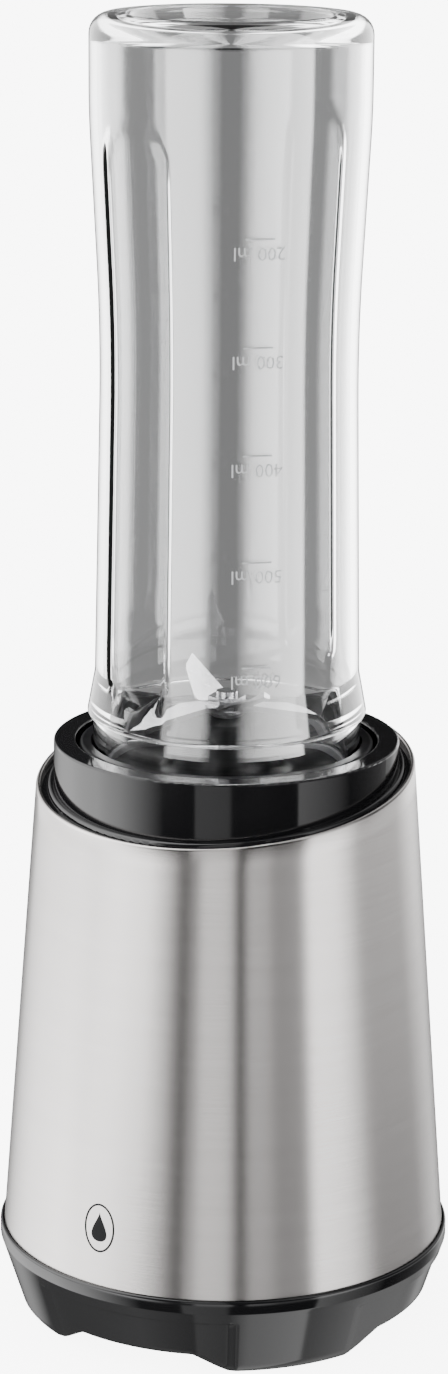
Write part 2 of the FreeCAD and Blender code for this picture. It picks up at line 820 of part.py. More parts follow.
def makeBoard():
    """The board, and its parts placed from its own edges."""
    left, right = "-board_width / 2", "board_width / 2"
    rear = f"({boardPlace} + board_depth / 2)"
    node("circuit_board", box("board_plate", "board_width", "board_depth", "board_thickness", left,
                              boardPlace, "board_height"))
    node("bridge_rectifier", box("rectifier", "rectifier_size", "rectifier_size", "rectifier_height",
                                 f"{left} + component_inset", f"{rear} - rectifier_place", "board_top"))
    node("suppression_capacitor", box("capacitor", "capacitor_length", "capacitor_width",
                                      "capacitor_height", f"{right} - component_inset - capacitor_length",
                                      f"{rear} - capacitor_place", "board_top"))
    fusePlace = f"({rear} - rectifier_place - rectifier_size / 2 - 2 * fuse_radius)"
    node("thermal_fuse", cylinder("fuse", "fuse_radius", "fuse_length",
                                  f"{right} - component_inset - fuse_length", fusePlace,
                                  "board_top + fuse_radius", "X"))


def makeCordEntry():
    wallEnd = f"({skirtOutside('gland_height')} + gland_stand)"
    sleeve = cylinder("gland_sleeve", "gland_radius", f"{wallEnd} - {glandFace}", "0", glandFace,
                      "gland_height", "Y")
    flange = cylinder("gland_inner_flange", "gland_flange", "gland_flange_thickness", "0", flangeFace,
                      "gland_height", "Y")
    bore = cylinder("gland_bore_hole", "gland_bore", f"{wallEnd} - {flangeFace}", "0", flangeFace,
                    "gland_height", "Y")
    node("cord_gland", cut("gland", fuse("gland_solid", sleeve, flange), bore))
    barReach = f"({clampReach} + clamp_end)"
    bar = box("clamp_bar", f"2 * {barReach}", "clamp_width", "clamp_thickness", f"-{barReach}", clampPlace,
              clampSeat)
    holes = [cylinder(f"clamp_hole_{side}", "small_screw_radius + bolt_play", "clamp_thickness",
                      f"{side} * {clampReach}", clampPlace, clampSeat) for side in (-1, 1)]
    node("cord_clamp", cut("clamp", bar, *holes))
    screws = [fuse(f"clamp_screw_{side}",
                   cylinder(f"clamp_head_{side}", "small_screw_head", "small_head_height",
                            f"{side} * {clampReach}", clampPlace, f"{clampSeat} + clamp_thickness"),
                   cylinder(f"clamp_shank_{side}", "small_screw_radius - thread_squeeze",
                            "small_screw_reach + clamp_thickness", f"{side} * {clampReach}", clampPlace,
                            f"{clampSeat} - small_screw_reach")) for side in (-1, 1)]
    node("clamp_screws", group("clamp_screw_group", *screws))


# ---------------------------------------------------------------- steel shell and top housing

def makeSteelShell():
    top = "(rim_height + lip_radius)"
    cone = revolve("steel_cone", [
        ("steel_radius - steel_wall", "steel_seat"),
        ("steel_radius", "steel_seat"),
        (steelOutside(top), top),
        (f"{steelOutside(top)} - steel_wall", top),
    ])
    node("steel_shell", cut("steel", cone, tiltedSlab("steel_above", "rim_height", stretch)))


def makeTopHousing():
    top = "(rim_height + lip_radius)"
    inside = "(steel_wall + shell_gap)"
    skirtBottom = "(rim_height - lip_radius * tan(rim_tilt) - ledge_skirt)"
    outerWall = "(collar_radius - collar_wall)"
    ledgeBlock = revolve("ledge_block", [
        (outerWall, skirtBottom),
        (f"{steelOutside(skirtBottom)} - {inside}", skirtBottom),
        (f"{steelOutside(top)} - {inside}", top),
        (outerWall, top),
    ])
    ledgeTop = "(rim_height - ledge_drop)"
    ledge = common("ledge", ledgeBlock, tiltedSlab("ledge_slab", f"{ledgeTop} - ledge_thickness",
                                                   "ledge_thickness"))
    skirt = revolve("ledge_skirt_ring", [
        (f"{steelOutside(skirtBottom)} - {inside} - ledge_skirt_wall", skirtBottom),
        (f"{steelOutside(skirtBottom)} - {inside}", skirtBottom),
        (f"{steelOutside(top)} - {inside}", top),
        (f"{steelOutside(top)} - {inside} - ledge_skirt_wall", top),
    ])
    skirtCut = cut("ledge_skirt_cut", skirt, tiltedSlab("skirt_above", f"{ledgeTop} - collar_edge", stretch))
    bead = doc.addObject("Part::Torus", "ledge_bead")
    bind(bead, "Radius1", "collar_radius + bead_radius * 0.6")
    bind(bead, "Radius2", "bead_radius")
    bead.Placement = FreeCAD.Placement(Vector(), FreeCAD.Rotation(Vector(1, 0, 0), 1))
    bind(bead, "Placement.Rotation.Angle", "rim_tilt")
    place(bead, z=ledgeTop)
    wellInside = "(well_radius + well_wall)"
    collar = revolve("collar_ring", [
        (outerWall, "well_floor_bottom"),
        ("collar_radius", "well_floor_bottom"),
        ("collar_radius", "collar_height", "collar_edge"),
        ("well_radius", "collar_height", "collar_edge"),
        ("well_radius", "well_floor"),
        ("cup_radius + splash_wall", "well_floor"),
        ("cup_radius + splash_wall", "well_floor + splash_rim"),
        ("cup_radius", "well_floor + splash_rim"),
        ("cup_radius", "cup_floor"),
        ("shaft_seal_radius", "cup_floor"),
        ("shaft_seal_radius", "cup_floor - well_wall"),
        ("cup_radius + well_wall", "cup_floor - well_wall"),
        ("cup_radius + well_wall", "well_floor_bottom"),
        (wellInside, "well_floor_bottom"),
        (wellInside, "collar_height - collar_wall"),
        (outerWall, "collar_height - collar_wall"),
    ])
    webs = [polarBox(f"floor_web_{i}", angle, "well_radius", "post_circle + web_reach - well_radius",
                     "web_width", "web_height", "well_floor_bottom") for i, angle in enumerate(postAngles)]
    posts = [polarCylinder(f"post_{i}", angle, "post_circle", "post_radius",
                           "well_floor_bottom - post_foot + collar_edge",
                           "post_foot") for i, angle in enumerate(postAngles)]
    postPilots = [polarCylinder(f"post_pilot_{i}", angle, "post_circle", "screw_radius", "pilot_depth",
                                "post_foot")
                  for i, angle in enumerate(postAngles)]
    bossBottom = "(bearing_seat + isolator_height)"
    bosses = [polarCylinder(f"motor_boss_{angle}", angle, "isolator_circle", "isolator_radius - coil_play",
                            f"well_floor_bottom - {bossBottom} + collar_edge", bossBottom)
              for angle in footAngles]
    bossPilots = [polarCylinder(f"motor_pilot_{angle}", angle, "isolator_circle", "screw_radius",
                                "isolator_reach + screw_radius", bossBottom) for angle in footAngles]
    pockets = [polarCylinder(f"spring_pocket_{angle}", angle, "leg_circle", "pocket_radius + pocket_wall",
                             "pocket_depth + pocket_wall", "well_floor - pocket_depth - pocket_wall")
               for angle in springAngles]
    pocketHoles = [polarCylinder(f"pocket_hole_{angle}", angle, "leg_circle", "pocket_radius",
                                 "pocket_depth + collar_edge", "well_floor - pocket_depth")
                   for angle in springAngles]
    legHoles = [polarCylinder(f"leg_hole_{angle}", angle, "leg_circle", "leg_radius + running_gap",
                              "3 * well_wall", "well_floor_bottom - well_wall") for angle in legAngles]
    solid = fuse("top_solid", ledge, skirtCut, bead, collar, *webs, *posts, *bosses, *pockets)
    node("top_housing", cut("top", solid, *postPilots, *bossPilots, *pocketHoles, *legHoles))


def makeBaseScrews():
    head = "(post_foot - screw_seat - screw_head_height)"
    screws = [screw(f"base_screw_{i}", "screw_radius - thread_squeeze", "screw_head", "screw_head_height",
                    "screw_head_height + screw_seat + screw_reach", *onCircle("post_circle", angle), head)
              for i, angle in enumerate(postAngles)]
    node("base_screws", group("base_screw_group", *screws))
    seal = tube("well_seal", "shaft_seal_radius", "shaft_radius + running_gap", "well_wall + shaft_stub",
                z="cup_floor - well_wall")
    node("motor_shaft_seal", seal)


# ---------------------------------------------------------------- motor

ventAngles = [20, 70, 110, 160, 200, 250, 290, 340]


def makeBracket(name, plateBottom, columnBottom, columnTop, cupBottom, cupTop, cupInside, extras, extraHoles):
    columnHeight = f"({columnTop}) - ({columnBottom})"
    plate = cylinder(name + "_plate", "plate_radius", "plate_thickness", z=plateBottom)
    columns = [cylinder(f"{name}_column_{i}", "column_radius", columnHeight, x, y, columnBottom)
               for i, (x, y) in enumerate(boltPlaces)]
    cup = cylinder(name + "_cup", f"{cupInside} + cup_wall", f"({cupTop}) - ({cupBottom})", z=cupBottom)
    solid = fuse(name + "_solid", plate, *columns, cup, *extras)
    shaftHole = cylinder(name + "_shaft_hole", "shaft_radius + coupling_space", "3 * plate_thickness",
                         z=f"{plateBottom} - plate_thickness")
    cupHole = cylinder(name + "_cup_hole", cupInside, f"({cupTop}) - ({cupBottom})", z=cupBottom)
    boltHoles = [cylinder(f"{name}_bolt_hole_{i}", "bolt_radius + bolt_play",
                          f"{columnHeight} + 2 * plate_thickness", x, y, f"({columnBottom}) - plate_thickness")
                 for i, (x, y) in enumerate(boltPlaces)]
    vents = [polarCylinder(f"{name}_vent_{angle}", angle, "bearing_radius + cup_wall + vent_offset",
                           "vent_radius", "3 * plate_thickness", f"{plateBottom} - plate_thickness")
             for angle in ventAngles]
    return cut(name + "_bracket", solid, shaftHole, cupHole, *boltHoles, *vents, *extraHoles)


def makeMotorFrame():
    arms = [polarBox(f"bracket_arm_{angle}", angle, "arm_start",
                     "isolator_circle + isolator_radius - arm_start", "2 * isolator_radius",
                     "plate_thickness", "upper_plate") for angle in footAngles]
    tabs = [polarBox(f"switch_tab_{angle}", angle, "arm_start", f"{switchStart} + switch_length - arm_start",
                     "switch_width + 2 * switch_side", "plate_thickness", "upper_plate")
            for angle in legAngles[:2]]
    armHoles = [polarCylinder(f"arm_hole_{angle}", angle, "isolator_circle", "screw_radius + screw_clearance",
                              "3 * plate_thickness", "upper_plate - plate_thickness") for angle in footAngles]
    node("upper_bracket", makeBracket("upper", "upper_plate", "stator_top", "bearing_seat - shaft_stub",
                                      "bearing_seat", "bearing_seat + bearing_height + cup_rim",
                                      "bearing_radius", arms + tabs, armHoles))
    node("lower_bracket", makeBracket("lower", "lower_plate", "lower_plate", "stator_bottom",
                                      "lower_plate - bearing_height", "lower_plate", "lower_bearing_radius",
                                      [], []))
    for name, radius, bottom in (("upper", "bearing_radius", "bearing_seat"),
                                 ("lower", "lower_bearing_radius", "lower_plate - bearing_height")):
        node(f"{name}_bearing", tube(f"{name}_bearing_ring", f"{radius} - bearing_squeeze",
                                     "shaft_radius + running_gap", "bearing_height", z=bottom))
    bolts = [fuse(f"motor_bolt_{i}",
                  cylinder(f"bolt_shank_{i}", "bolt_radius", "bearing_seat - lower_plate", x, y, "lower_plate"),
                  cylinder(f"bolt_head_{i}", "bolt_head", "bolt_head_height", x, y, "bearing_seat"))
             for i, (x, y) in enumerate(boltPlaces)]
    node("motor_bolts", group("bolt_group", *bolts))
    isolators = [tube(f"isolator_{angle}", "isolator_radius", "screw_radius + bolt_play", "isolator_height",
                      *onCircle("isolator_circle", angle), "bearing_seat") for angle in footAngles]
    node("motor_isolators", group("isolator_group", *isolators))
    screws = [screw(f"motor_screw_{angle}", "screw_radius - thread_squeeze", "screw_head",
                    "screw_head_height",
                    "screw_head_height + plate_thickness + isolator_height + isolator_reach",
                    *onCircle("isolator_circle", angle), "upper_plate - screw_head_height")
              for angle in footAngles]
    node("motor_screws", group("motor_screw_group", *screws))


def rectangle(halfWidth, halfHeight, corner=None, centre="0"):
    """The corners of a rectangle centred on (0, centre)."""
    tail = (corner,) if corner else ()
    low, high = f"({centre}) - ({halfHeight})", f"({centre}) + ({halfHeight})"
    return [(f"-({halfWidth})", low) + tail, (f"({halfWidth})", low) + tail,
            (f"({halfWidth})", high) + tail, (f"-({halfWidth})", high) + tail]


def makeStator():
    block = pad("stator_block", [rectangle("stator_width / 2", "stator_width / 2", "stator_corner")],
                "stator_bottom", "stator_stack")
    bore = cylinder("stator_bore", "rotor_radius + air_gap", "stator_stack", z="stator_bottom")
    windows = [box(f"coil_window_{name}", "window_reach - pole_half_width", "2 * window_half_height",
                   "stator_stack", start, "0", "stator_bottom")
               for name, start in (("right", "pole_half_width"), ("left", "-window_reach"))]
    holes = [cylinder(f"stator_hole_{i}", "bolt_radius + bolt_play", "stator_stack", x, y, "stator_bottom")
             for i, (x, y) in enumerate(boltPlaces)]
    node("stator_core", cut("stator", block, bore, *windows, *holes))
    coilInside, coilOutside = "(rotor_radius * 0.74)", "(window_half_height - coil_play)"
    middle = "(stator_bottom + stator_stack / 2)"
    for name, start in (("front", coilInside), ("rear", f"-{coilOutside}")):
        loop = pad(f"{name}_coil_loop",
                   [rectangle("window_reach - coil_play", "stator_stack / 2 + coil_end", "stator_yoke", middle),
                    rectangle("pole_half_width + coil_step", "stator_stack / 2 + coil_step", "shaft_stub",
                              middle)],
                   start, f"{coilOutside} - {coilInside}", "XZ_Plane")
        node(f"field_coil_{name}", loop)


def makeBrushes():
    blockBottom = "(lower_plate + plate_thickness)"
    centre = "(commutator_bottom + commutator_height / 2)"
    channelSize = "(brush_size + brush_gap)"
    channelLength = "(brush_block_length - brush_block_wall)"
    brushStart = "(commutator_radius + brush_gap)"
    springStart = f"({brushStart} + brush_length)"
    for side, angle in (("right", 0), ("left", 180)):
        block = box(f"{side}_brush_block", "brush_block_length", "brush_block_width",
                    f"brush_block_top - {blockBottom}", "brush_block_start", "0", blockBottom)
        channel = box(f"{side}_brush_channel", channelLength, channelSize, channelSize, "brush_block_start",
                      "0", f"{centre} - {channelSize} / 2")
        holder = cut(f"{side}_brush_guide", block, channel)
        brush = box(f"{side}_carbon", "brush_length", "brush_size", "brush_size", brushStart, "0",
                    f"{centre} - brush_size / 2")
        spring = helix(f"{side}_brush_coil", "brush_spring_radius", "brush_spring_wire",
                       f"brush_block_start + {channelLength} - {springStart}", "6")
        spring.Placement = FreeCAD.Placement(Vector(), TURNS["X"])
        place(spring, springStart, "0", centre)
        for name, thing in (("brush_holder", holder), ("carbon_brush", brush), ("brush_spring", spring)):
            node(f"{name}_{side}", turnedCopy(f"{name}_{side}_copy", thing, angle))


def makeRotor():
    shaftTop = "(coupling_top - socket_depth - coupling_gap)"
    shaft = cylinder("shaft_rod", "shaft_radius", f"{shaftTop} - shaft_bottom", z="shaft_bottom")
    node("motor_shaft", shaft)
    core = cylinder("core_drum", "rotor_radius", "stator_stack", z="stator_bottom")
    slots = [polarBox(f"rotor_slot_{i}", 30 * i, "rotor_radius - rotor_slot_depth",
                      "2 * rotor_slot_depth", "rotor_slot_width", "stator_stack",
                      "stator_bottom") for i in range(12)]
    coreBore = cylinder("core_bore", "shaft_radius", "stator_stack", z="stator_bottom")
    node("rotor_core", cut("core", core, coreBore, *slots))
    windingBottom = "(commutator_bottom + commutator_height + cup_rim)"
    ends = [tube(f"winding_{name}", "rotor_radius - rotor_slot_depth", "shaft_radius", height, z=bottom)
            for name, bottom, height in (("lower", windingBottom, f"stator_bottom - {windingBottom}"),
                                         ("upper", "stator_top", "coil_end"))]
    node("rotor_windings", group("winding_group", *ends))
    drum = tube("commutator_drum", "commutator_radius", "shaft_radius", "commutator_height",
                z="commutator_bottom")
    gaps = [polarBox(f"bar_gap_{i}", 15 * i, "commutator_radius - bar_gap_depth", "2 * bar_gap_depth",
                     "bar_gap_width", "commutator_height - commutator_lift", "commutator_bottom")
            for i in range(24)]
    node("commutator", cut("commutator_bars", drum, *gaps))
    disc = cylinder("fan_plate", "fan_radius", "fan_disc", z="fan_bottom")
    hub = cylinder("fan_boss", "fan_hub", "fan_height", z="fan_bottom")
    vanes = [polarBox(f"fan_vane_{i}", 40 * i, "fan_hub - fan_vane", "fan_radius - fan_hub + fan_vane / 2",
                      "fan_vane", "fan_height", "fan_bottom") for i in range(9)]
    fanBore = cylinder("fan_bore", "shaft_radius", "fan_height", z="fan_bottom")
    node("cooling_fan", cut("fan", fuse("fan_solid", disc, hub, *vanes), fanBore))


def spline(name, root, tip, tooth, height, z):
    """Six straight teeth about Z."""
    bars = []
    for i in range(3):
        bars.append(polarBox(f"{name}_bar_{i}", 60 * i, f"-({tip})", f"2 * ({tip})", tooth, height, z))
    return fuse(name, cylinder(name + "_root", root, height, z=z), *bars)


def makeDriveCoupling():
    bottom = "(cup_floor + coupling_lift)"
    outside = cylinder("coupling_drum", "coupling_radius", f"coupling_top - {bottom}", z=bottom)
    bore = cylinder("coupling_bore", "shaft_radius", f"coupling_top - {bottom}", z=bottom)
    socket = spline("coupling_socket", "spline_root + spline_gap", "spline_tip + spline_gap",
                    "spline_tooth + 2 * spline_gap", "socket_depth", "coupling_top - socket_depth")
    node("drive_coupling", cut("driver", outside, bore, socket))


# ---------------------------------------------------------------- press ring and switches

def makePressRing():
    ring = tube("press_annulus", "ring_outer_radius", "ring_inner_radius", "ring_thickness", z="ring_bottom")
    legs = [polarCylinder(f"press_leg_{angle}", angle, "leg_circle", "leg_radius",
                          "leg_length + ring_thickness / 2", "ring_bottom - leg_length") for angle in legAngles]
    notches = [polarBox(f"key_notch_{angle}", angle, f"{keyStart} - key_play", "well_radius",
                        "key_width + key_play", "3 * ring_thickness", "ring_bottom - ring_thickness")
               for angle in keyAngles]
    node("press_ring", cut("press", fuse("press_solid", ring, *legs), *notches))
    springBottom = "(well_floor - pocket_depth)"
    for name, angle in zip(("right", "rear", "front"), springAngles):
        coil = helix(f"{name}_return_coil", "spring_radius", "spring_wire", f"ring_bottom - {springBottom}",
                     "spring_turns")
        x, y = onCircle("leg_circle", angle)
        node(f"return_spring_{name}", place(coil, x, y, springBottom))


keyStart = "(holder_radius - holder_wall - key_lap)"
switchStart = "(leg_circle - switch_inset)"


def makeSwitches():
    base = "(bearing_seat + switch_lift)"
    bracketWidth = "(switch_width + 2 * switch_side)"
    socketBottom = f"({base} + switch_floor)"
    plungerBottom = f"({socketBottom} + press_travel + switch_play)"
    for name, angle in zip(("rear", "left"), legAngles):
        channel = polarBox(f"{name}_switch_channel", angle, switchStart, "switch_length", bracketWidth,
                           "0.7 * switch_height", "bearing_seat")
        gap = polarBox(f"{name}_switch_gap", angle, f"{switchStart} - switch_side",
                       "switch_length + 2 * switch_side", "switch_width + 2 * thread_squeeze",
                       "switch_height", base)
        node(f"switch_bracket_{name}", cut(f"{name}_switch_bracket", channel, gap))
        case = polarBox(f"{name}_switch_case", angle, switchStart, "switch_length", "switch_width",
                        "switch_height", base)
        hole = polarCylinder(f"{name}_switch_hole", angle, "leg_circle", "plunger_radius + running_gap",
                             "switch_height", socketBottom)
        node(f"safety_switch_{name}", cut(f"{name}_switch", case, hole))
        node(f"switch_plunger_{name}", polarCylinder(f"{name}_plunger", angle, "leg_circle", "plunger_radius",
                                                     f"ring_bottom - leg_length - {plungerBottom}",
                                                     plungerBottom))


# ---------------------------------------------------------------- blade unit

holderInside = "(holder_radius - holder_wall)"


def makeBladeHolder():
    body = revolve("holder_cup", [
        (holderInside, "ring_top"),
        ("holder_radius", "ring_top"),
        ("holder_radius", "holder_top", "1"),
        (holderInside, "holder_top"),
        (holderInside, "holder_floor_top"),
        ("holder_hub + hub_foot", "holder_floor_top", "4"),
        ("holder_hub", "hub_top", "1.5"),
        ("bush_radius", "hub_top"),
        ("bush_radius", "hub_bottom"),
        ("holder_hub", "hub_bottom"),
        ("holder_hub", "holder_floor_bottom"),
        (holderInside, "holder_floor_bottom"),
    ])
    keys = [polarBox(f"holder_key_{angle}", angle, keyStart, f"holder_radius - key_inset - {keyStart}",
                     "key_width", "key_depth + holder_rise + holder_floor / 2", "ring_top - key_depth")
            for angle in keyAngles]
    node("blade_holder", fuse("holder", body, *keys))
    node("bottle_seal", tube("seal_ring", f"{holderInside} - thread_squeeze",
                             "neck_radius - neck_wall - seal_lap", "seal_thickness", z="holder_floor_top"))
    sealBottom = "(hub_top - blade_seal_height)"
    for name, bottom, top in (("blade_bush", "hub_bottom", sealBottom),
                              ("blade_shaft_seal", sealBottom, "hub_top")):
        node(name, tube(f"{name}_ring", "bush_radius - bearing_squeeze", "blade_shaft_radius + running_gap",
                        f"{top} - {bottom}", z=bottom))


def makeBlade(name, reach, rise, z, angle):
    """A bent strip with two tapering arms."""
    thick = "blade_thickness"
    strip = pad(f"{name}_strip", [[
        ("0", z),
        ("blade_hub", z),
        (reach, f"{z} + ({rise})"),
        (reach, f"{z} + ({rise}) + {thick}"),
        ("blade_hub", f"{z} + {thick}"),
        ("-blade_hub", f"{z} + {thick}"),
        (f"-({reach})", f"{z} + ({rise}) + {thick}"),
        (f"-({reach})", f"{z} + ({rise})"),
        ("-blade_hub", z),
    ]], "-blade_width / 2", "blade_width", "XZ_Plane")
    plan = pad(f"{name}_plan", [[
        (f"({reach})", "0"),
        (f"({reach}) * 0.86", "blade_width * 0.28"),
        ("blade_hub", "blade_width * 0.46"),
        ("-blade_hub", "blade_width * 0.5"),
        (f"-({reach})", "0"),
        (f"-({reach}) * 0.86", "-blade_width * 0.28"),
        ("-blade_hub", "-blade_width * 0.46"),
        ("blade_hub", "-blade_width * 0.5"),
    ]], f"{z} - {stretch}", f"2 * {stretch}")
    bore = cylinder(f"{name}_bore", "blade_shaft_radius", "2 * blade_thickness",
                    z=f"{z} - blade_thickness / 2")
    shape = cut(f"{name}_cut", common(f"{name}_shape", strip, plan), bore)
    turned = group(f"{name}_turned", shape)
    turned.Placement = FreeCAD.Placement(Vector(), FreeCAD.Rotation(Vector(0, 0, 1), 1))
    bind(turned, "Placement.Rotation.Angle", angle)
    node(name, turned)


def makeBlades():
    """The blades stack up from the washer on the blade shaft."""
    shaftBottom = "(driven_bottom + socket_gap)"
    washerBottom = "(hub_top + washer_lift)"
    lower = f"({washerBottom} + washer_height)"
    upper = f"({lower} + blade_thickness)"
    nutBottom = f"({upper} + blade_thickness)"
    node("blade_shaft", cylinder("blade_rod", "blade_shaft_radius",
                                 f"{nutBottom} + nut_height + shaft_end - {shaftBottom}", z=shaftBottom))
    node("blade_washer", tube("washer", "nut_size + shaft_end", "blade_shaft_radius", "washer_height",
                              z=washerBottom))
    makeBlade("lower_blade", "lower_blade_reach", "-lower_blade_drop", lower, "lower_blade_angle")
    makeBlade("upper_blade", "upper_blade_reach", "upper_blade_rise", upper, "upper_blade_angle")
    corners = [(f"nut_size / cos(30) * cos({60 * i + 30})", f"nut_size / cos(30) * sin({60 * i + 30})")
               for i in range(6)]
    nut = cut("nut", pad("nut_hexagon", [corners], nutBottom, "nut_height"),
              cylinder("nut_bore", "blade_shaft_radius", "nut_height", z=nutBottom))
    node("blade_nut", nut)
    flangeBottom = "(driven_top - driven_flange)"
    teeth = spline("driven_teeth", "spline_root", "spline_tip", "spline_tooth",
                   f"{flangeBottom} - driven_bottom", "driven_bottom")
    flange = cylinder("driven_disc", "spline_tip + driven_rim", "driven_flange", z=flangeBottom)
    bore = cylinder("driven_bore", "blade_shaft_radius", f"driven_top - {shaftBottom}", z=shaftBottom)
    node("driven_coupling", cut("driven", fuse("driven_solid", teeth, flange), bore))
    node("retaining_ring", tube("clip", "blade_shaft_radius + clip_width", "blade_shaft_radius",
                                "clip_thickness", z="driven_top"))


# ---------------------------------------------------------------- bottle

def makeBottle():
    body = revolve("bottle_wall_body", [
        ("neck_radius - neck_wall", "neck_bottom"),
        ("neck_radius", "neck_bottom", "0.5"),
        ("neck_radius", "shoulder_height"),
        ("bottle_shoulder_radius", "shoulder_height", "1.4"),
        ("bottle_low_radius", "low_height", "8"),
        ("bottle_waist_radius", "waist_height", "body_curve"),
        ("bottle_end_radius", "taper_height", "body_curve / 2"),
        ("bottle_end_radius", "bottle_height", "end_edge"),
        ("end_ring_radius", "bottle_height", "1.2"),
        ("end_ring_radius - 2", "bottle_height - end_recess", "1"),
        ("0", "bottle_height - end_recess"),
        ("0", f"bottle_height - end_recess - bottle_wall"),
        ("end_ring_radius - 3", f"bottle_height - end_recess - bottle_wall"),
        (f"bottle_end_radius - bottle_wall", f"bottle_height - end_recess - bottle_wall", "end_edge - 1"),
        (f"bottle_end_radius - bottle_wall", "taper_height"),
        (f"bottle_waist_radius - bottle_wall", "waist_height", "body_curve"),
        (f"bottle_low_radius - bottle_wall", "low_height"),
        ("neck_radius - neck_wall", "shoulder_height"),
    ])
    core = revolve("grip_core", [
        ("0", "neck_bottom"),
        ("bottle_shoulder_radius - grip_depth", "neck_bottom"),
        ("bottle_shoulder_radius - grip_depth", "shoulder_height"),
        ("bottle_low_radius - grip_depth", "low_height", "8"),
        ("bottle_waist_radius - grip_depth", "waist_height", "body_curve"),
        ("bottle_end_radius - grip_depth", "taper_height", "body_curve / 2"),
        ("bottle_end_radius - grip_depth", "bottle_height"),
        ("0", "bottle_height"),
    ])
    straight = "(grip_top - grip_bottom - grip_width)"
    panel = box("grip_panel", "bottle_shoulder_radius + 2", "grip_width", straight, "0", "0",
                "grip_bottom + grip_width / 2")
    ends = [cylinder(f"grip_end_{name}", "grip_width / 2", "bottle_shoulder_radius + 2", "0", "0", z, "X")
            for name, z in (("low", "grip_bottom + grip_width / 2"), ("high", "grip_top - grip_width / 2"))]
    slot = fuse("grip_slot", panel, *ends)
    recess = cut("grip_recess", slot, core)
    pair = group("grip_pair", recess, turnedCopy("grip_opposite", recess, 180))
    pair.Placement = FreeCAD.Placement(Vector(), FreeCAD.Rotation(Vector(0, 0, 1), 1))
    bind(pair, "Placement.Rotation.Angle", "grip_angle")
    node("bottle", cut("bottle_shape", body, pair))


# ---------------------------------------------------------------- build, check, write

makeBaseSkirt()
makeFootPads()
makeBottomCover()
makeBoard()
makeCordEntry()
makeSteelShell()
makeTopHousing()
makeBaseScrews()
makeMotorFrame()
makeStator()
makeBrushes()
makeRotor()
makeDriveCoupling()
makePressRing()
makeSwitches()
makeBladeHolder()
makeBlades()
makeBottle()
doc.recompute()

faults = [thing.Name for thing in doc.Objects
          if {"Invalid", "Error"} & set(thing.State)]
faults += [name for name, thing in nodes.items()
           if thing.Shape.isNull() or not thing.Shape.isValid() or not thing.Shape.Solids]
if faults:
    raise SystemExit("these objects failed: " + ", ".join(faults))

for name, thing in nodes.items():
    thing.Shape.exportStep(f"parts/{name}.step")
    print(name, len(thing.Shape.Solids), round(thing.Shape.Volume, 1))
print(len(nodes), "pieces written")
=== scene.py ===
import json
import math

import bmesh
import bpy
import numpy as np
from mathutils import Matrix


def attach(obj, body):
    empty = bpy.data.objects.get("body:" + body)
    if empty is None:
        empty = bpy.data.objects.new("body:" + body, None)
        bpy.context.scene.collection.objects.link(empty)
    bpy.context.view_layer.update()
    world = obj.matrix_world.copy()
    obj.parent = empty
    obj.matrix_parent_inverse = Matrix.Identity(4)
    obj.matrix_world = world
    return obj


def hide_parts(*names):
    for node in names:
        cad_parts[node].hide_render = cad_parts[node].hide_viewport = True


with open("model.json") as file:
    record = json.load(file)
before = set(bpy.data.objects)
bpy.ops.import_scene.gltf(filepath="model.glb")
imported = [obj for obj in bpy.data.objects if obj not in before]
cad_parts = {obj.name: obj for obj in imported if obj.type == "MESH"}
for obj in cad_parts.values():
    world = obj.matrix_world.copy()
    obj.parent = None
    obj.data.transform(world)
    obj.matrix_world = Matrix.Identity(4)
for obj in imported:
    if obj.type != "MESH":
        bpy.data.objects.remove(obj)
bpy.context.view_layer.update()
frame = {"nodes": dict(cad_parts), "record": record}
mm = 0.001


def addMesh(name, points, faces, body, material, sharp, replaces=()):
    # points in metres and closed loops of their numbers; edges sharper than sharp degrees stay crisp
    mesh = bpy.data.meshes.new(name)
    mesh.from_pydata(np.asarray(points).tolist(), [], faces)
    return addPiece(name, mesh, body, material, sharp, replaces)


def addPiece(name, mesh, body, material, sharp, replaces=()):
    mesh.update()
    mesh.materials.clear()
    mesh.materials.append(material)
    mesh.polygons.foreach_set("use_smooth", np.ones(len(mesh.polygons), dtype=bool))
    mesh.set_sharp_from_angle(angle=math.radians(sharp))
    piece = bpy.data.objects.new(name, mesh)
    bpy.context.scene.collection.objects.link(piece)
    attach(piece, body)
    if replaces:
        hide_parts(*replaces)
    return piece


def gridFaces(index):
    # quads between neighbouring rows and columns of an index grid; a repeated corner makes a triangle
    a, b, c, d = index[:-1, :-1], index[:-1, 1:], index[1:, 1:], index[1:, :-1]
    quads = np.stack([a, b, c, d], axis=-1).reshape(-1, 4)
    faces = []
    flat = (quads[:, 0] == quads[:, 1]) | (quads[:, 1] == quads[:, 2]) \
        | (quads[:, 2] == quads[:, 3]) | (quads[:, 3] == quads[:, 0])
    faces += quads[~flat].tolist()
    for quad in quads[flat].tolist():
        kept = list(dict.fromkeys(quad))
        if len(kept) == 3:
            faces.append(kept)
    return faces


def keepUsed(points, faces):
    # drops the points that no face has, and numbers the faces' corners again
    used, renamed = np.unique(np.concatenate([np.ravel(face) for face in faces]), return_inverse=True)
    ends = np.cumsum([len(face) for face in faces])
    return points[used], [renamed[end - len(face):end].tolist() for face, end in zip(faces, ends)]


def ringGrid(radius, height, angles):
    # rows are profile points, columns are angles; radius and height are (rows, columns) arrays
    rows, columns = radius.shape
    points = np.stack([radius * np.cos(angles), radius * np.sin(angles), height], axis=-1)
    index = np.arange(rows * columns).reshape(rows, columns)
    poles = np.all(radius < 1e-7, axis=1)
    index[poles] = index[poles][:, :1]
    index = np.concatenate([index, index[:, :1]], axis=1)
    index = np.concatenate([index, index[:1]], axis=0)
    return keepUsed(points.reshape(-1, 3), gridFaces(index))


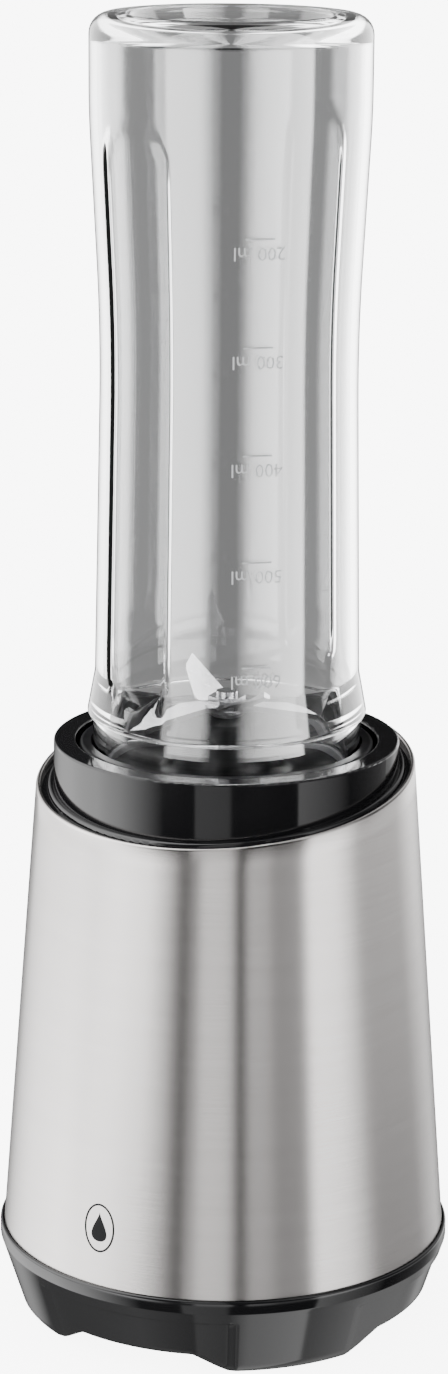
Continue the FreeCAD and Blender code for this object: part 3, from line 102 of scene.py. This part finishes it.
def rounded(corners, steps=6):
    # an outline of (x, y) or (x, y, radius) corners, each rounded one as an arc of that radius
    out = []
    count = len(corners)
    for i, corner in enumerate(corners):
        here = np.array(corner[:2], dtype=float)
        if len(corner) == 2 or corner[2] <= 0:
            out.append(here)
            continue
        back = np.array(corners[i - 1][:2], dtype=float) - here
        ahead = np.array(corners[(i + 1) % count][:2], dtype=float) - here
        back, ahead = back / np.linalg.norm(back), ahead / np.linalg.norm(ahead)
        half = math.acos(np.clip(back @ ahead, -1, 1)) / 2
        run = corner[2] / math.tan(half)
        middle = here + (back + ahead) / np.linalg.norm(back + ahead) * corner[2] / math.sin(half)
        start, end = here + back * run - middle, here + ahead * run - middle
        first = math.atan2(start[1], start[0])
        turn = (math.atan2(end[1], end[0]) - first + math.pi) % (2 * math.pi) - math.pi
        for share in np.linspace(0, 1, steps):
            angle = first + turn * share
            out.append(middle + corner[2] * np.array([math.cos(angle), math.sin(angle)]))
    return np.array(out)


def smoothStep(edge0, edge1, x):
    t = np.clip((x - edge0) / (edge1 - edge0), 0, 1)
    return t * t * (3 - 2 * t)


class Value:
    def __init__(self, maker, socket):
        self.maker, self.socket = maker, socket

    def maths(self, operation, *others):
        return self.maker.node("Math", {"operation": operation}, 0, self, *others)

    def __add__(self, other):
        return self.maths("ADD", other)

    def __sub__(self, other):
        return self.maths("SUBTRACT", other)

    def __rsub__(self, other):
        return self.maker.node("Math", {"operation": "SUBTRACT"}, 0, other, self)

    def __mul__(self, other):
        return self.maths("MULTIPLY", other)

    def __truediv__(self, other):
        return self.maths("DIVIDE", other)

    __radd__, __rmul__ = __add__, __mul__


class Maker:
    def __init__(self, owner):
        owner.use_nodes = True
        self.tree = owner.node_tree
        self.tree.nodes.clear()

    def node(self, kind, settings=None, outlet=0, *values, **named):
        made = self.tree.nodes.new("ShaderNode" + kind)
        for key, value in (settings or {}).items():
            if key == "stops":
                ramp = made.color_ramp
                while len(ramp.elements) > 1:
                    ramp.elements.remove(ramp.elements[-1])
                for i, (place, colour) in enumerate(value):
                    stop = ramp.elements[0] if i == 0 else ramp.elements.new(place)
                    stop.position = place
                    stop.color = (*colour, 1) if hasattr(colour, "__len__") else (colour,) * 3 + (1,)
            else:
                setattr(made, key, value)
        pairs = list(enumerate(values)) + [(key.replace("_", " "), value) for key, value in named.items()]
        for key, value in pairs:
            socket = made.inputs[key]
            if isinstance(value, Value):
                self.tree.links.new(value.socket, socket)
            else:
                socket.default_value = value
        return Value(self, made.outputs[outlet])

    def place(self, scale=(1, 1, 1), turn=(0, 0, 0)):
        objectPlace = self.node("TexCoord", None, "Object")
        return self.node("Mapping", None, 0, Vector=objectPlace, Scale=scale, Rotation=turn)

    def noise(self, scale, detail=3, rough=0.5, stretch=(1, 1, 1)):
        return self.node("TexNoise", None, "Fac", Vector=self.place(stretch), Scale=scale, Detail=detail,
                         Roughness=rough)

    def ramp(self, factor, *stops):
        return self.node("ValToRGB", {"stops": stops}, "Color", Fac=factor)

    def blendColours(self, factor, first, second):
        made = self.tree.nodes.new("ShaderNodeMix")
        made.data_type = "RGBA"
        for place, value in ((0, factor), (6, first), (7, second)):
            if isinstance(value, Value):
                self.tree.links.new(value.socket, made.inputs[place])
            else:
                made.inputs[place].default_value = value if place == 0 else (*value, 1)
        return Value(self, made.outputs[2])

    def bump(self, height, strength, distance):
        return self.node("Bump", None, 0, Height=height, Strength=strength, Distance=distance)


def makeMaterial(name, colour, roughness, **sockets):
    # colour and roughness are values or functions of the maker; other sockets go by their own names
    material = bpy.data.materials.new(name)
    maker = Maker(material)
    settings = {key.replace("_", " "): value(maker) if callable(value) else value
                for key, value in sockets.items()}
    baseColour = colour(maker) if callable(colour) else (*colour, 1)
    rough = roughness(maker) if callable(roughness) else roughness
    shader = maker.node("BsdfPrincipled", None, 0, **{"Base Color": baseColour, "Roughness": rough}, **settings)
    out = maker.tree.nodes.new("ShaderNodeOutputMaterial")
    maker.tree.links.new(shader.socket, out.inputs[0])
    return material


def brushedSteelFinish():
    fineLines = (0.02, 0.02, 1)

    def colour(m):
        streaks = m.noise(2600, 4, 0.6, fineLines)
        broad = m.noise(260, 2, 0.5, fineLines)
        tone = streaks * 0.6 + broad * 0.4
        return m.ramp(tone, (0.3, (0.645, 0.618, 0.604)), (0.7, (0.70, 0.673, 0.66)))

    return makeMaterial(
        "brushedSteel", colour,
        lambda m: m.noise(1900, 3, 0.6, fineLines) * 0.06 + 0.2,
        Metallic=1.0, Anisotropic=0.8, Anisotropic_Rotation=0.25,
        Normal=lambda m: m.bump(m.noise(3400, 3, 0.65, fineLines), 0.06, 0.0002))


def glossBlackFinish():
    return makeMaterial(
        "glossBlack", lambda m: m.ramp(m.noise(40, 3), (0.3, (0.006, 0.006, 0.007)), (0.8, (0.010, 0.010, 0.011))),
        lambda m: m.noise(90, 4, 0.6) * 0.05 + 0.05,
        Normal=lambda m: m.bump(m.noise(14, 1), 0.04, 0.0004), Specular_IOR_Level=0.6)


def clearFinish():
    return makeMaterial("clearCopolyester", lambda m: m.ramp(m.noise(30, 2), (0.3, (0.985, 0.99, 0.995)),
                                                             (0.7, (0.995, 0.995, 0.995))), 0.0,
                        IOR=1.5, Transmission_Weight=1.0)


def mouldedFinish(name, dark, light, rough=0.45, grain=900, depth=0.25, gloss=0.5):
    return makeMaterial(
        name, lambda m: m.ramp(m.noise(70, 3), (0.35, dark), (0.7, light)),
        lambda m: m.noise(grain / 3, 3) * 0.14 + (rough - 0.07),
        Normal=lambda m: m.bump(m.noise(grain, 2, 0.6), depth, 0.00012), Specular_IOR_Level=gloss)


def groundMetalFinish(name, dark, light, rough, stretch, metallic=1.0):
    return makeMaterial(
        name, lambda m: m.ramp(m.noise(900, 3, 0.6, stretch), (0.3, dark), (0.7, light)),
        lambda m: m.noise(1400, 3, 0.6, stretch) * 0.15 + rough,
        Metallic=metallic, Normal=lambda m: m.bump(m.noise(1800, 2, 0.6, stretch), 0.15, 0.0001))


def bandedFinish(name, dark, light, perMetre, direction, rough, metallic):
    # even bands along one axis: stacked sheets or the turns of a winding
    def turnsOf(m):
        wave = m.node("TexWave", {"wave_type": "BANDS", "bands_direction": direction, "wave_profile": "SIN"}, 1,
                      Vector=m.place(), Scale=perMetre / 20 * 6.2832 / 2, Distortion=0.4, Detail=1.0)
        return wave
    return makeMaterial(
        name, lambda m: m.ramp(turnsOf(m), (0.1, dark), (0.8, light)),
        lambda m: m.noise(300, 2) * 0.1 + rough, Metallic=metallic,
        Normal=lambda m: m.bump(turnsOf(m), 0.6, 0.0003))


def makeFinishes():
    return {
        "steel": brushedSteelFinish(),
        "black_gloss": glossBlackFinish(),
        "clear": clearFinish(),
        "black_satin": mouldedFinish("satinBlack", (0.008, 0.008, 0.009), (0.016, 0.016, 0.018), 0.38, gloss=0.12),
        "grey_plastic": mouldedFinish("greyNylon", (0.16, 0.16, 0.17), (0.22, 0.22, 0.23), 0.5),
        "nylon": mouldedFinish("whiteNylon", (0.62, 0.60, 0.55), (0.74, 0.72, 0.66), 0.45),
        "rubber": mouldedFinish("mattRubber", (0.014, 0.014, 0.014), (0.03, 0.03, 0.03), 0.75, 1600, 0.5),
        "silicone": mouldedFinish("greySilicone", (0.30, 0.30, 0.31), (0.40, 0.40, 0.42), 0.35),
        "carbon": mouldedFinish("pressedCarbon", (0.02, 0.02, 0.02), (0.05, 0.05, 0.052), 0.55, 2400, 0.5),
        "board": mouldedFinish("solderMask", (0.02, 0.10, 0.045), (0.03, 0.16, 0.07), 0.3, 300, 0.3),
        "blade_steel": groundMetalFinish(
            "groundSteel", (0.40, 0.40, 0.41), (0.55, 0.55, 0.56), 0.22, (0.03, 1, 1)),
        "fastener": groundMetalFinish("zincPlate", (0.50, 0.50, 0.49), (0.68, 0.68, 0.66), 0.26, (1, 1, 0.5)),
        "bracket_metal": groundMetalFinish(
            "dieCastAluminium", (0.48, 0.49, 0.50), (0.62, 0.63, 0.64), 0.42, (1, 1, 1)),
        "bronze": groundMetalFinish("sinteredBronze", (0.36, 0.24, 0.12), (0.52, 0.37, 0.20), 0.42, (1, 1, 1)),
        "lamination": bandedFinish("stackedSheets", (0.10, 0.10, 0.11), (0.28, 0.28, 0.30), 2000, "Z", 0.4, 0.8),
        "copper": bandedFinish("enamelledWire", (0.32, 0.11, 0.035), (0.72, 0.32, 0.13), 1600, "Z", 0.28, 0.9),
    }


finish = makeFinishes()
print("finishes made")

slotOf = {s["node"]: s["material_slot"] for s in frame["record"]["subparts"]}
for nodeName, nodeObject in frame["nodes"].items():
    nodeObject.data.materials.clear()
    nodeObject.data.materials.append(finish[slotOf[nodeName]])
print("finishes put on", len(slotOf), "nodes")


skirt = {
    "groundRadius": 58.3, "lipRadius": 64.8, "lipHeight": 24.6, "creaseHeight": 19.3, "creaseStep": 0.5,
    "wall": 2.4, "soleGap": 0.8, "archHeight": 6.0, "archHalf": 26.0, "archFlat": 17.0, "relief": 0.7,
    "reliefAngle": 27.5, "steelSeat": 21.4, "steelInside": 63.95,
}


def archHeightAt(angles):
    # how high the ring's lower edge is: level over the middle of each quarter and sloping to the feet
    s = skirt
    fromMiddle = (angles + np.pi / 4) % (np.pi / 2) - np.pi / 4
    across = np.abs(s["groundRadius"] * np.sin(fromMiddle))
    rise = 1 - smoothStep(s["archFlat"] - 1.5, s["archHalf"] + 1.0, across) * 0.35 \
        - np.clip((across - s["archFlat"]) / (s["archHalf"] - s["archFlat"]), 0, 1) * 0.65
    return s["soleGap"] + (s["archHeight"] - s["soleGap"]) * rise


def makeFootRing():
    s = skirt
    angles = np.linspace(0, 2 * np.pi, 720, endpoint=False)
    low = archHeightAt(angles)
    fromMiddle = np.abs((angles + np.pi / 4) % (np.pi / 2) - np.pi / 4)
    inset = s["relief"] * (1 - smoothStep(s["reliefAngle"] - 1.6, s["reliefAngle"] + 1.6, np.degrees(fromMiddle)))
    creaseRadius = s["lipRadius"] - s["creaseStep"]

    def wallRadius(z):
        return s["groundRadius"] + (creaseRadius - s["groundRadius"]) * (z - s["soleGap"]) \
            / (s["creaseHeight"] - s["soleGap"])

    rows = []
    for share in np.linspace(0.06, 1, 12):  # outer wall, from just over the lower edge to the crease
        z = low + (s["creaseHeight"] - 2.2 - low) * share
        rows.append((wallRadius(z) - inset, z))
    rows.append((wallRadius(s["creaseHeight"] - 1.9) - inset * 0.5, s["creaseHeight"] - 1.9 + 0 * low))
    rows.append((wallRadius(s["creaseHeight"] - 1.6) + 0 * low, s["creaseHeight"] - 1.6 + 0 * low))
    lip = rounded([(wallRadius(s["creaseHeight"] - 0.8), s["creaseHeight"] - 0.8),
                   (creaseRadius, s["creaseHeight"], 0.6),
                   (s["lipRadius"], s["creaseHeight"] + 1.5, 0.8),
                   (s["lipRadius"], s["lipHeight"], 0.75),
                   (s["steelInside"], s["lipHeight"] - 0.1, 0.12),
                   (s["steelInside"], s["steelSeat"]),
                   (s["steelInside"] - 1.6, s["steelSeat"]),
                   (creaseRadius - s["wall"], s["creaseHeight"])], 5)
    lip = lip[:-1]
    for r, z in lip:
        rows.append((r + 0 * low, z + 0 * low))
    rows.append((creaseRadius - s["wall"] + 0 * low, s["creaseHeight"] + 0 * low))
    for share in np.linspace(1, 0.06, 6):  # inner wall, back down
        z = low + (s["creaseHeight"] - 2.2 - low) * share
        rows.append((wallRadius(z) - s["wall"], z))
    rows.append((wallRadius(low) - s["wall"] + 0.5, low))
    rows.append((wallRadius(low) - inset - 0.5, low))
    radius = np.array([r for r, z in rows]) * mm
    height = np.array([z for r, z in rows]) * mm
    points, faces = ringGrid(radius, height, angles)
    addMesh("footRing", points, faces, "base", finish["black_gloss"], 30, ["base_skirt"])


def makeFootFloor():
    # the skirt's own floor, feet and bosses, with its outer wall drawn in to the middle of the new ring's
    s = skirt
    shape = bmesh.new()
    shape.from_mesh(frame["nodes"]["base_skirt"].data)
    bmesh.ops.remove_doubles(shape, verts=shape.verts, dist=1e-6)
    mesh = bpy.data.meshes.new("footFloor")
    shape.to_mesh(mesh)
    shape.free()
    points = np.empty(len(mesh.vertices) * 3)
    mesh.vertices.foreach_get("co", points)
    points = points.reshape(-1, 3) / mm
    x, y, z = points.T
    radius, low = np.hypot(x, y), archHeightAt(np.arctan2(y, x))
    wall = s["groundRadius"] + (s["lipRadius"] - s["creaseStep"] - s["groundRadius"]) * (z / s["creaseHeight"])
    inWall = radius > wall - s["wall"] - 0.05
    drawn = np.where(inWall, np.minimum(radius, np.minimum(wall, s["lipRadius"] - 0.6) - s["wall"] / 2), radius)
    newZ = np.where(inWall, np.clip(z, low + 0.5, s["steelSeat"] - 0.6), z)
    scale = drawn / np.maximum(radius, 1e-9)
    points = np.stack([x * scale, y * scale, newZ], axis=-1) * mm
    mesh.vertices.foreach_set("co", points.ravel())
    addPiece("footFloor", mesh, "base", finish["black_gloss"], 30)


makeFootRing()
makeFootFloor()
print("foot ring and floor made")


shell = {
    "radius": 63.85, "taper": 4.32, "seat": 21.4, "rim": 159.0, "tilt": 8.5, "wall": 0.8, "lip": 0.75,
}


def shellRadius(z):
    return shell["radius"] - (z - shell["seat"]) * math.tan(math.radians(shell["taper"]))


def rimHeight(angles, radius):
    return shell["rim"] + radius * np.sin(angles) * math.tan(math.radians(shell["tilt"]))


def makeSteelShell():
    s = shell
    angles = np.linspace(0, 2 * np.pi, 512, endpoint=False)
    top = rimHeight(angles, 53.5)
    top = rimHeight(angles, shellRadius(top))
    rows = []
    for share in np.linspace(0, 1, 24):
        z = s["seat"] + (top - s["lip"] - s["seat"]) * share
        rows.append((shellRadius(z), z))
    for turn in np.linspace(0, math.pi, 9)[1:]:  # the rim rolls over inwards
        rows.append((shellRadius(top) - s["lip"] + s["lip"] * math.cos(turn),
                     top - s["lip"] + s["lip"] * math.sin(turn)))
    for share in np.linspace(1, 0, 6):
        z = s["seat"] + (top - 2.5 - s["seat"]) * share
        rows.append((shellRadius(z) - s["wall"], z))
    radius = np.array([r for r, z in rows]) * mm
    height = np.array([z + 0 * top for r, z in rows]) * mm
    points, faces = ringGrid(radius, height, angles)
    addMesh("steelShell", points, faces, "base", finish["steel"], 50, ["steel_shell"])


makeSteelShell()
print("steel shell made")


bottle = {
    "neck": 37.6, "neckBottom": 161.5, "neckWall": 3.3, "shoulder": 39.4, "shoulderHeight": 175.4,
    "low": 37.05, "lowHeight": 188.0, "waist": 35.35, "waistHeight": 283.0, "end": 38.45, "taperHeight": 343.0,
    "top": 369.6, "curve": 550.0, "edge": 5.5, "ring": 28.0, "recess": 4.0, "wall": 2.3,
    "gripAngle": 70.0, "gripHalf": 12.5, "gripLow": 181.0, "gripHigh": 343.0, "gripDepth": 0.7, "gripEdge": 2.2,
}


def gripDepthAt(angles, z, radius):
    # the recess of the two grip panels: long slots with round ends and soft edges
    b = bottle
    depth = 0
    for side in (0, 180):
        away = (angles - math.radians(b["gripAngle"] + side) + np.pi) % (2 * np.pi) - np.pi
        across = np.abs(away * radius)
        beyond = np.maximum(np.maximum(b["gripLow"] + b["gripHalf"] - z, z - b["gripHigh"] + b["gripHalf"]), 0)
        distance = np.hypot(across, beyond) - b["gripHalf"]
        near = np.abs(away) < np.pi / 2
        depth = depth + near * (1 - smoothStep(-b["gripEdge"], 0, distance)) * b["gripDepth"]
    return depth


def gripAngles(count):
    # even angles with more of them near the panels' long edges
    b = bottle
    even = np.linspace(-np.pi, np.pi, count, endpoint=False)
    extra = []
    for side in (0, 180):
        for edge in (-1, 1):
            middle = math.radians(b["gripAngle"] + side) + edge * (b["gripHalf"] - b["gripEdge"] / 2) / 36.5
            extra.append(middle + np.linspace(-0.055, 0.055, 13))
    joined = np.concatenate([even] + extra)
    joined = np.sort((joined + np.pi) % (2 * np.pi) - np.pi)
    return joined[np.insert(np.diff(joined) > 0.004, 0, True)]


def sampled(outline, step):
    # more points along an outline's long runs
    out = []
    for start, end in zip(outline[:-1], outline[1:]):
        count = max(int(np.linalg.norm(end - start) / step), 1)
        out += [start + (end - start) * i / count for i in range(count)]
    return np.array(out + [outline[-1]])


def makeBottle():
    b = bottle
    angles = gripAngles(200)
    outside = rounded([
        (b["neck"] - b["neckWall"], b["neckBottom"], 0.6), (b["neck"], b["neckBottom"], 0.6),
        (b["neck"], b["shoulderHeight"] - 0.2, 0.5), (b["shoulder"], b["shoulderHeight"], 1.5),
        (b["low"], b["lowHeight"], 11), (b["waist"], b["waistHeight"], b["curve"]),
        (b["end"], b["taperHeight"], b["curve"] / 2), (b["end"], b["top"], b["edge"]),
        (b["ring"], b["top"], 1.6), (b["ring"] - 2, b["top"] - b["recess"], 1.4),
        (b["ring"] - 8, b["top"] - b["recess"] - 0.3, 4), (0.0, b["top"] - b["recess"] - 1.6),
        (0.0, b["top"] - b["recess"] - 5)], 9)
    inside = rounded([
        (0.0, b["top"] - b["recess"] - 1.6 - b["wall"]), (b["ring"] - 8, b["top"] - b["recess"] - b["wall"], 4),
        (b["ring"] - 3.5, b["top"] - b["recess"] - b["wall"], 2.5),
        (b["end"] - b["wall"] - 3, b["top"] - b["wall"] - 0.6, 1.5),
        (b["end"] - b["wall"], b["top"] - b["wall"] - 4, 3.5),
        (b["end"] - b["wall"], b["taperHeight"], b["curve"] / 2),
        (b["waist"] - b["wall"], b["waistHeight"], b["curve"]),
        (b["low"] - b["wall"], b["lowHeight"], 20), (b["neck"] - b["neckWall"], b["shoulderHeight"], 12),
        (b["neck"] - b["neckWall"], b["neckBottom"] + 0.7), (b["neck"] - b["neckWall"], b["neckBottom"])], 9)
    outside = sampled(outside[:-1], 2.2)
    inside = sampled(inside[:-1], 4)
    outline = np.concatenate([outside, inside])
    radius = np.repeat(outline[:, :1], len(angles), axis=1)
    height = np.repeat(outline[:, 1:], len(angles), axis=1)
    depth = gripDepthAt(angles[None, :], height, 36.5)
    radius = np.where(radius > 30, radius - depth, radius)
    points, faces = ringGrid(radius * mm, height * mm, angles)
    print("bottle faces", len(faces))
    addMesh("bottleShell", points, faces, "jar", finish["clear"], 50, ["bottle"])
    return outside


bottleOutline = makeBottle()
print("bottle made")


emblem = {"angle": -98.4, "height": 41.0, "halfWidth": 5.0, "halfHeight": 7.0, "line": 0.55, "drop": 3.1,
          "thickness": 0.05, "steps": 96}
scaleMarks = {"angle": -52.5, "first": 197.3, "step": 29.1, "labels": ("600", "500", "400", "300", "200"),
              "tick": 8.0, "line": 0.5, "size": 5.2, "thickness": 0.06, "gap": 4.0}


def wrapped(flat, angle, height, radiusAt, lift):
    # lays flat points (along, up, out) on a round wall: along becomes an arc, out adds to the radius
    z = height + flat[:, 1]
    radius = radiusAt(z)
    turn = math.radians(angle) + flat[:, 0] / radius
    radius = radius + lift + flat[:, 2]
    return np.stack([radius * np.cos(turn), radius * np.sin(turn), z], axis=-1) * mm


def loopBand(inner, outer, thickness):
    # the flat band between two loops of (along, up) points, with its thickness; a loop of one point is a pole
    rows = [np.column_stack([loop, np.full(len(loop), out)])
            for loop, out in ((inner, 0), (inner, thickness), (outer, thickness), (outer, 0))]
    count = len(inner)
    index = np.arange(4 * count).reshape(4, count)
    if np.ptp(inner, axis=0).max() < 1e-9:
        index[:2] = index[:2, :1]
        rows = rows[1:]
        index = index[1:] - count
        index = np.concatenate([index, index[-1:] * 0 + 3 * count])
        rows.append(np.column_stack([inner, np.zeros(count)]))
        index = np.concatenate([index, index[:, :1]], axis=1)
    else:
        index = np.concatenate([index, index[:, :1]], axis=1)
        index = np.concatenate([index, index[:1]], axis=0)
    return keepUsed(np.concatenate(rows), gridFaces(index))


def makeEmblem():
    # an oval line round a plain drop
    e = emblem
    turn = np.linspace(0, 2 * np.pi, e["steps"], endpoint=False)
    oval = np.stack([np.cos(turn), np.sin(turn)], axis=-1)
    size = np.array([e["halfWidth"], e["halfHeight"]])
    dropLoop = np.stack([e["drop"] * np.cos(turn) * (1 - np.sin(turn)) / 1.6,
                         e["drop"] * (np.sin(turn) * 1.35 + 0.1)], axis=-1)
    for name, inner, outer in (("emblemOval", oval * (size - e["line"]), oval * size),
                               ("emblemDrop", dropLoop * 0, dropLoop)):
        flat, faces = loopBand(inner, outer, e["thickness"])
        points = wrapped(flat, e["angle"], e["height"], shellRadius, 0.01)
        addMesh(name, points, faces, "base", finish["black_satin"], 30)


def makeScale():
    # ticks and numbers that read upright when the bottle is turned over to drink from
    k = scaleMarks
    heights, radii = bottleOutline[:, 1], bottleOutline[:, 0]
    wall = (heights > 180) & (heights < 350)
    order = np.argsort(heights[wall])

    def radiusAt(z):
        return np.interp(z, heights[wall][order], radii[wall][order])

    allPoints, allFaces, count = [], [], 0
    for place, label in enumerate(k["labels"]):
        height = k["first"] + k["step"] * place
        text = bpy.data.curves.new("label", "FONT")
        text.body, text.size, text.extrude = label + " ml", k["size"], k["thickness"] / 2
        text.resolution_u = 2
        holder = bpy.data.objects.new("label", text)
        mesh = bpy.data.meshes.new_from_object(holder)
        flat = np.empty(len(mesh.vertices) * 3)
        mesh.vertices.foreach_get("co", flat)
        flat = flat.reshape(-1, 3)
        middle = (flat.min(axis=0) + flat.max(axis=0)) / 2
        flat = (middle - flat) * (1, 1, -1) + (0, -k["gap"], k["thickness"] / 2)  # half a turn, under its tick
        corners = np.array([(-1, -1), (1, -1), (1, 1), (-1, 1)]) * (k["tick"] / 2, k["line"] / 2)
        faces = [list(polygon.vertices) for polygon in mesh.polygons]
        tick, tickFaces = loopBand(corners * 0, corners, k["thickness"])
        for part, partFaces in ((flat, faces), (tick, tickFaces)):
            allPoints.append(wrapped(part, k["angle"], height, radiusAt, 0.005))
            allFaces += [[corner + count for corner in face] for face in partFaces]
            count += len(part)
        bpy.data.objects.remove(holder)
    addMesh("scaleMarks", np.concatenate(allPoints), allFaces, "jar", frost, 30)


frost = makeMaterial(
    "frostedMark", lambda m: m.ramp(m.noise(120, 2), (0.3, (0.62, 0.63, 0.64)), (0.7, (0.75, 0.76, 0.77))),
    lambda m: m.noise(400, 2) * 0.2 + 0.35)
makeEmblem()
makeScale()
print("marks made")


view = {"azimuth": 25.0, "distance": 1.0214, "height": 0.4509, "pitch": 14.72, "roll": -0.42, "lens": 98.5,
        "shift": -0.0072}


def makeCamera():
    camera = bpy.data.cameras.new("camera")
    camera.lens = view["lens"]
    camera.sensor_width = 36
    camera.shift_x = view["shift"]
    camera.clip_start, camera.clip_end = 0.05, 60
    holder = bpy.data.objects.new("camera", camera)
    turn = math.radians(view["azimuth"])
    holder.location = (view["distance"] * math.sin(turn), -view["distance"] * math.cos(turn), view["height"])
    holder.rotation_euler = (math.radians(90 - view["pitch"]), math.radians(view["roll"]), turn)
    bpy.context.scene.collection.objects.link(holder)
    bpy.context.scene.camera = holder


studio = {
    "floorGlow": 7.0, "fill": 1.3, "backdrop": 9.0, "panelScale": 40.0, "steelScale": 16.0,
}


def makeFloor():
    size = 30
    mesh = bpy.data.meshes.new("floor")
    mesh.from_pydata([(-size, -size, 0), (size, -size, 0), (size, size, 0), (-size, size, 0)], [], [(0, 1, 2, 3)])
    mesh.materials.append(makeMaterial("paleFloor", (0.9, 0.9, 0.9), lambda m: m.noise(3, 2) * 0.1 + 0.6,
                                       Specular_IOR_Level=0.1, Emission_Color=(1, 1, 1, 1),
                                       Emission_Strength=studio["floorGlow"]))
    floor = bpy.data.objects.new("floor", mesh)
    bpy.context.scene.collection.objects.link(floor)
    floor.visible_glossy = False
    floor.visible_transmission = False
    floor.visible_diffuse = False


def bands(scale, *pairs):
    # (degrees to the right of the camera, light) pairs as ramp stops, light as a share of the scale
    return [((angle + 180) / 360, min(value / scale, 1)) for angle, value in pairs]


def seenAs(*pairs):
    # turns how light a band looks, from 0 to 1, into how much light it gives: 1.15 x / (1 - x)
    return [(angle, 1.15 * look / (1 - look)) for angle, look in pairs]


def makeLight():
    # a ring of soft panels, brightest where the bottle and the steel catch them
    world = bpy.data.worlds.new("studio")
    bpy.context.scene.world = world
    m = Maker(world)
    direction = m.node("TexCoord", None, "Generated")
    turnedBy = m.node("VectorRotate", {"rotation_type": "Z_AXIS"}, 0, Vector=direction,
                      Angle=math.radians(90 - view["azimuth"]))
    parts = m.node("SeparateXYZ", None, 0, turnedBy).socket.node.outputs
    ahead, right, up = (Value(m, socket) for socket in parts)
    around = m.node("Math", {"operation": "ARCTAN2"}, 0, right, ahead) / (2 * math.pi) + 0.5
    steelBands = m.ramp(around, *bands(studio["steelScale"], *seenAs(
        (-180, 0.75), (-172, 0.75), (-165, 0.25), (-152, 0.3), (-145, 0.70), (-80, 0.68), (-62, 0.79), (-44, 0.80),
        (-27, 0.30), (-23, 0.12), (-15, 0.12), (-13, 0.60), (4, 0.58), (6, 0.01), (11, 0.01), (13, 0.56),
        (24, 0.50), (28, 0.36), (44, 0.40), (50, 0.78), (66, 0.77), (82, 0.50), (120, 0.50), (140, 0.70), (165, 0.7),
        (172, 0.15), (180, 0.75))))
    darkBands = m.ramp(around, *bands(studio["steelScale"],
        (-180, 0.03), (-170, 0.04), (-155, 0.8), (-125, 3.2), (-95, 4.6), (-75, 3.6), (-42, 0.06), (-21, 0.03),
        (-20, 0.9), (2, 0.7), (4, 0.05), (48, 0.02), (49, 1.6), (80, 0.5), (90, 0.03), (125, 0.3), (150, 1.0),
        (170, 0.04), (180, 0.03)))
    footBands = m.ramp(around, *bands(studio["steelScale"],
        (-180, 0.1), (-120, 0.3), (-60, 0.7), (-21, 0.4), (-20, 0.8), (5, 0.6), (20, 1.8), (60, 2.4), (62, 0.8),
        (100, 1.4), (150, 0.4), (180, 0.1)))
    glassBands = m.ramp(around, *bands(studio["panelScale"],
        (-180, 0.24), (-166, 0.34), (-160, 5), (-106, 6), (-98, 0.3), (-56, 0.3), (-53, 11), (-24, 8), (-14, 0.1),
        (8, 0.1), (16, 4), (45, 16), (69, 26), (71, 0.5), (108, 0.5), (114, 7), (160, 7), (166, 0.34), (180, 0.24)))
    isHigh = m.node("MapRange", None, 0, up, -0.26, -0.23, 0.0, 1.0) \
        * m.node("MapRange", None, 0, up, 0.0, 0.06, 1.0, 0.0)
    isLow = m.node("MapRange", None, 0, up, -0.62, -0.5, 1.0, 0.0)
    bandColour = m.blendColours(isHigh, m.blendColours(isLow, darkBands, footBands), steelBands)
    paths = m.tree.nodes.new("ShaderNodeLightPath").outputs
    sharp, diffuse, seen = (Value(m, paths[kind + " Ray"]) for kind in ("Is Singular", "Is Diffuse", "Is Camera"))
    lit = m.node("Background", None, 0, Color=bandColour, Strength=studio["steelScale"])
    glass = m.node("Background", None, 0, Color=glassBands, Strength=studio["panelScale"])
    fill = m.node("Background", None, 0, Color=(1, 1, 1, 1), Strength=studio["fill"])
    backdrop = m.node("Background", None, 0, Color=(1, 1, 1, 1), Strength=studio["backdrop"])
    mixed = m.node("MixShader", None, 0, sharp, lit, glass)
    mixed = m.node("MixShader", None, 0, diffuse, mixed, fill)
    mixed = m.node("MixShader", None, 0, seen, mixed, backdrop)
    out = m.tree.nodes.new("ShaderNodeOutputWorld")
    m.tree.links.new(mixed.socket, out.inputs[0])


makeCamera()
makeFloor()
makeLight()
print("camera, floor and light made")
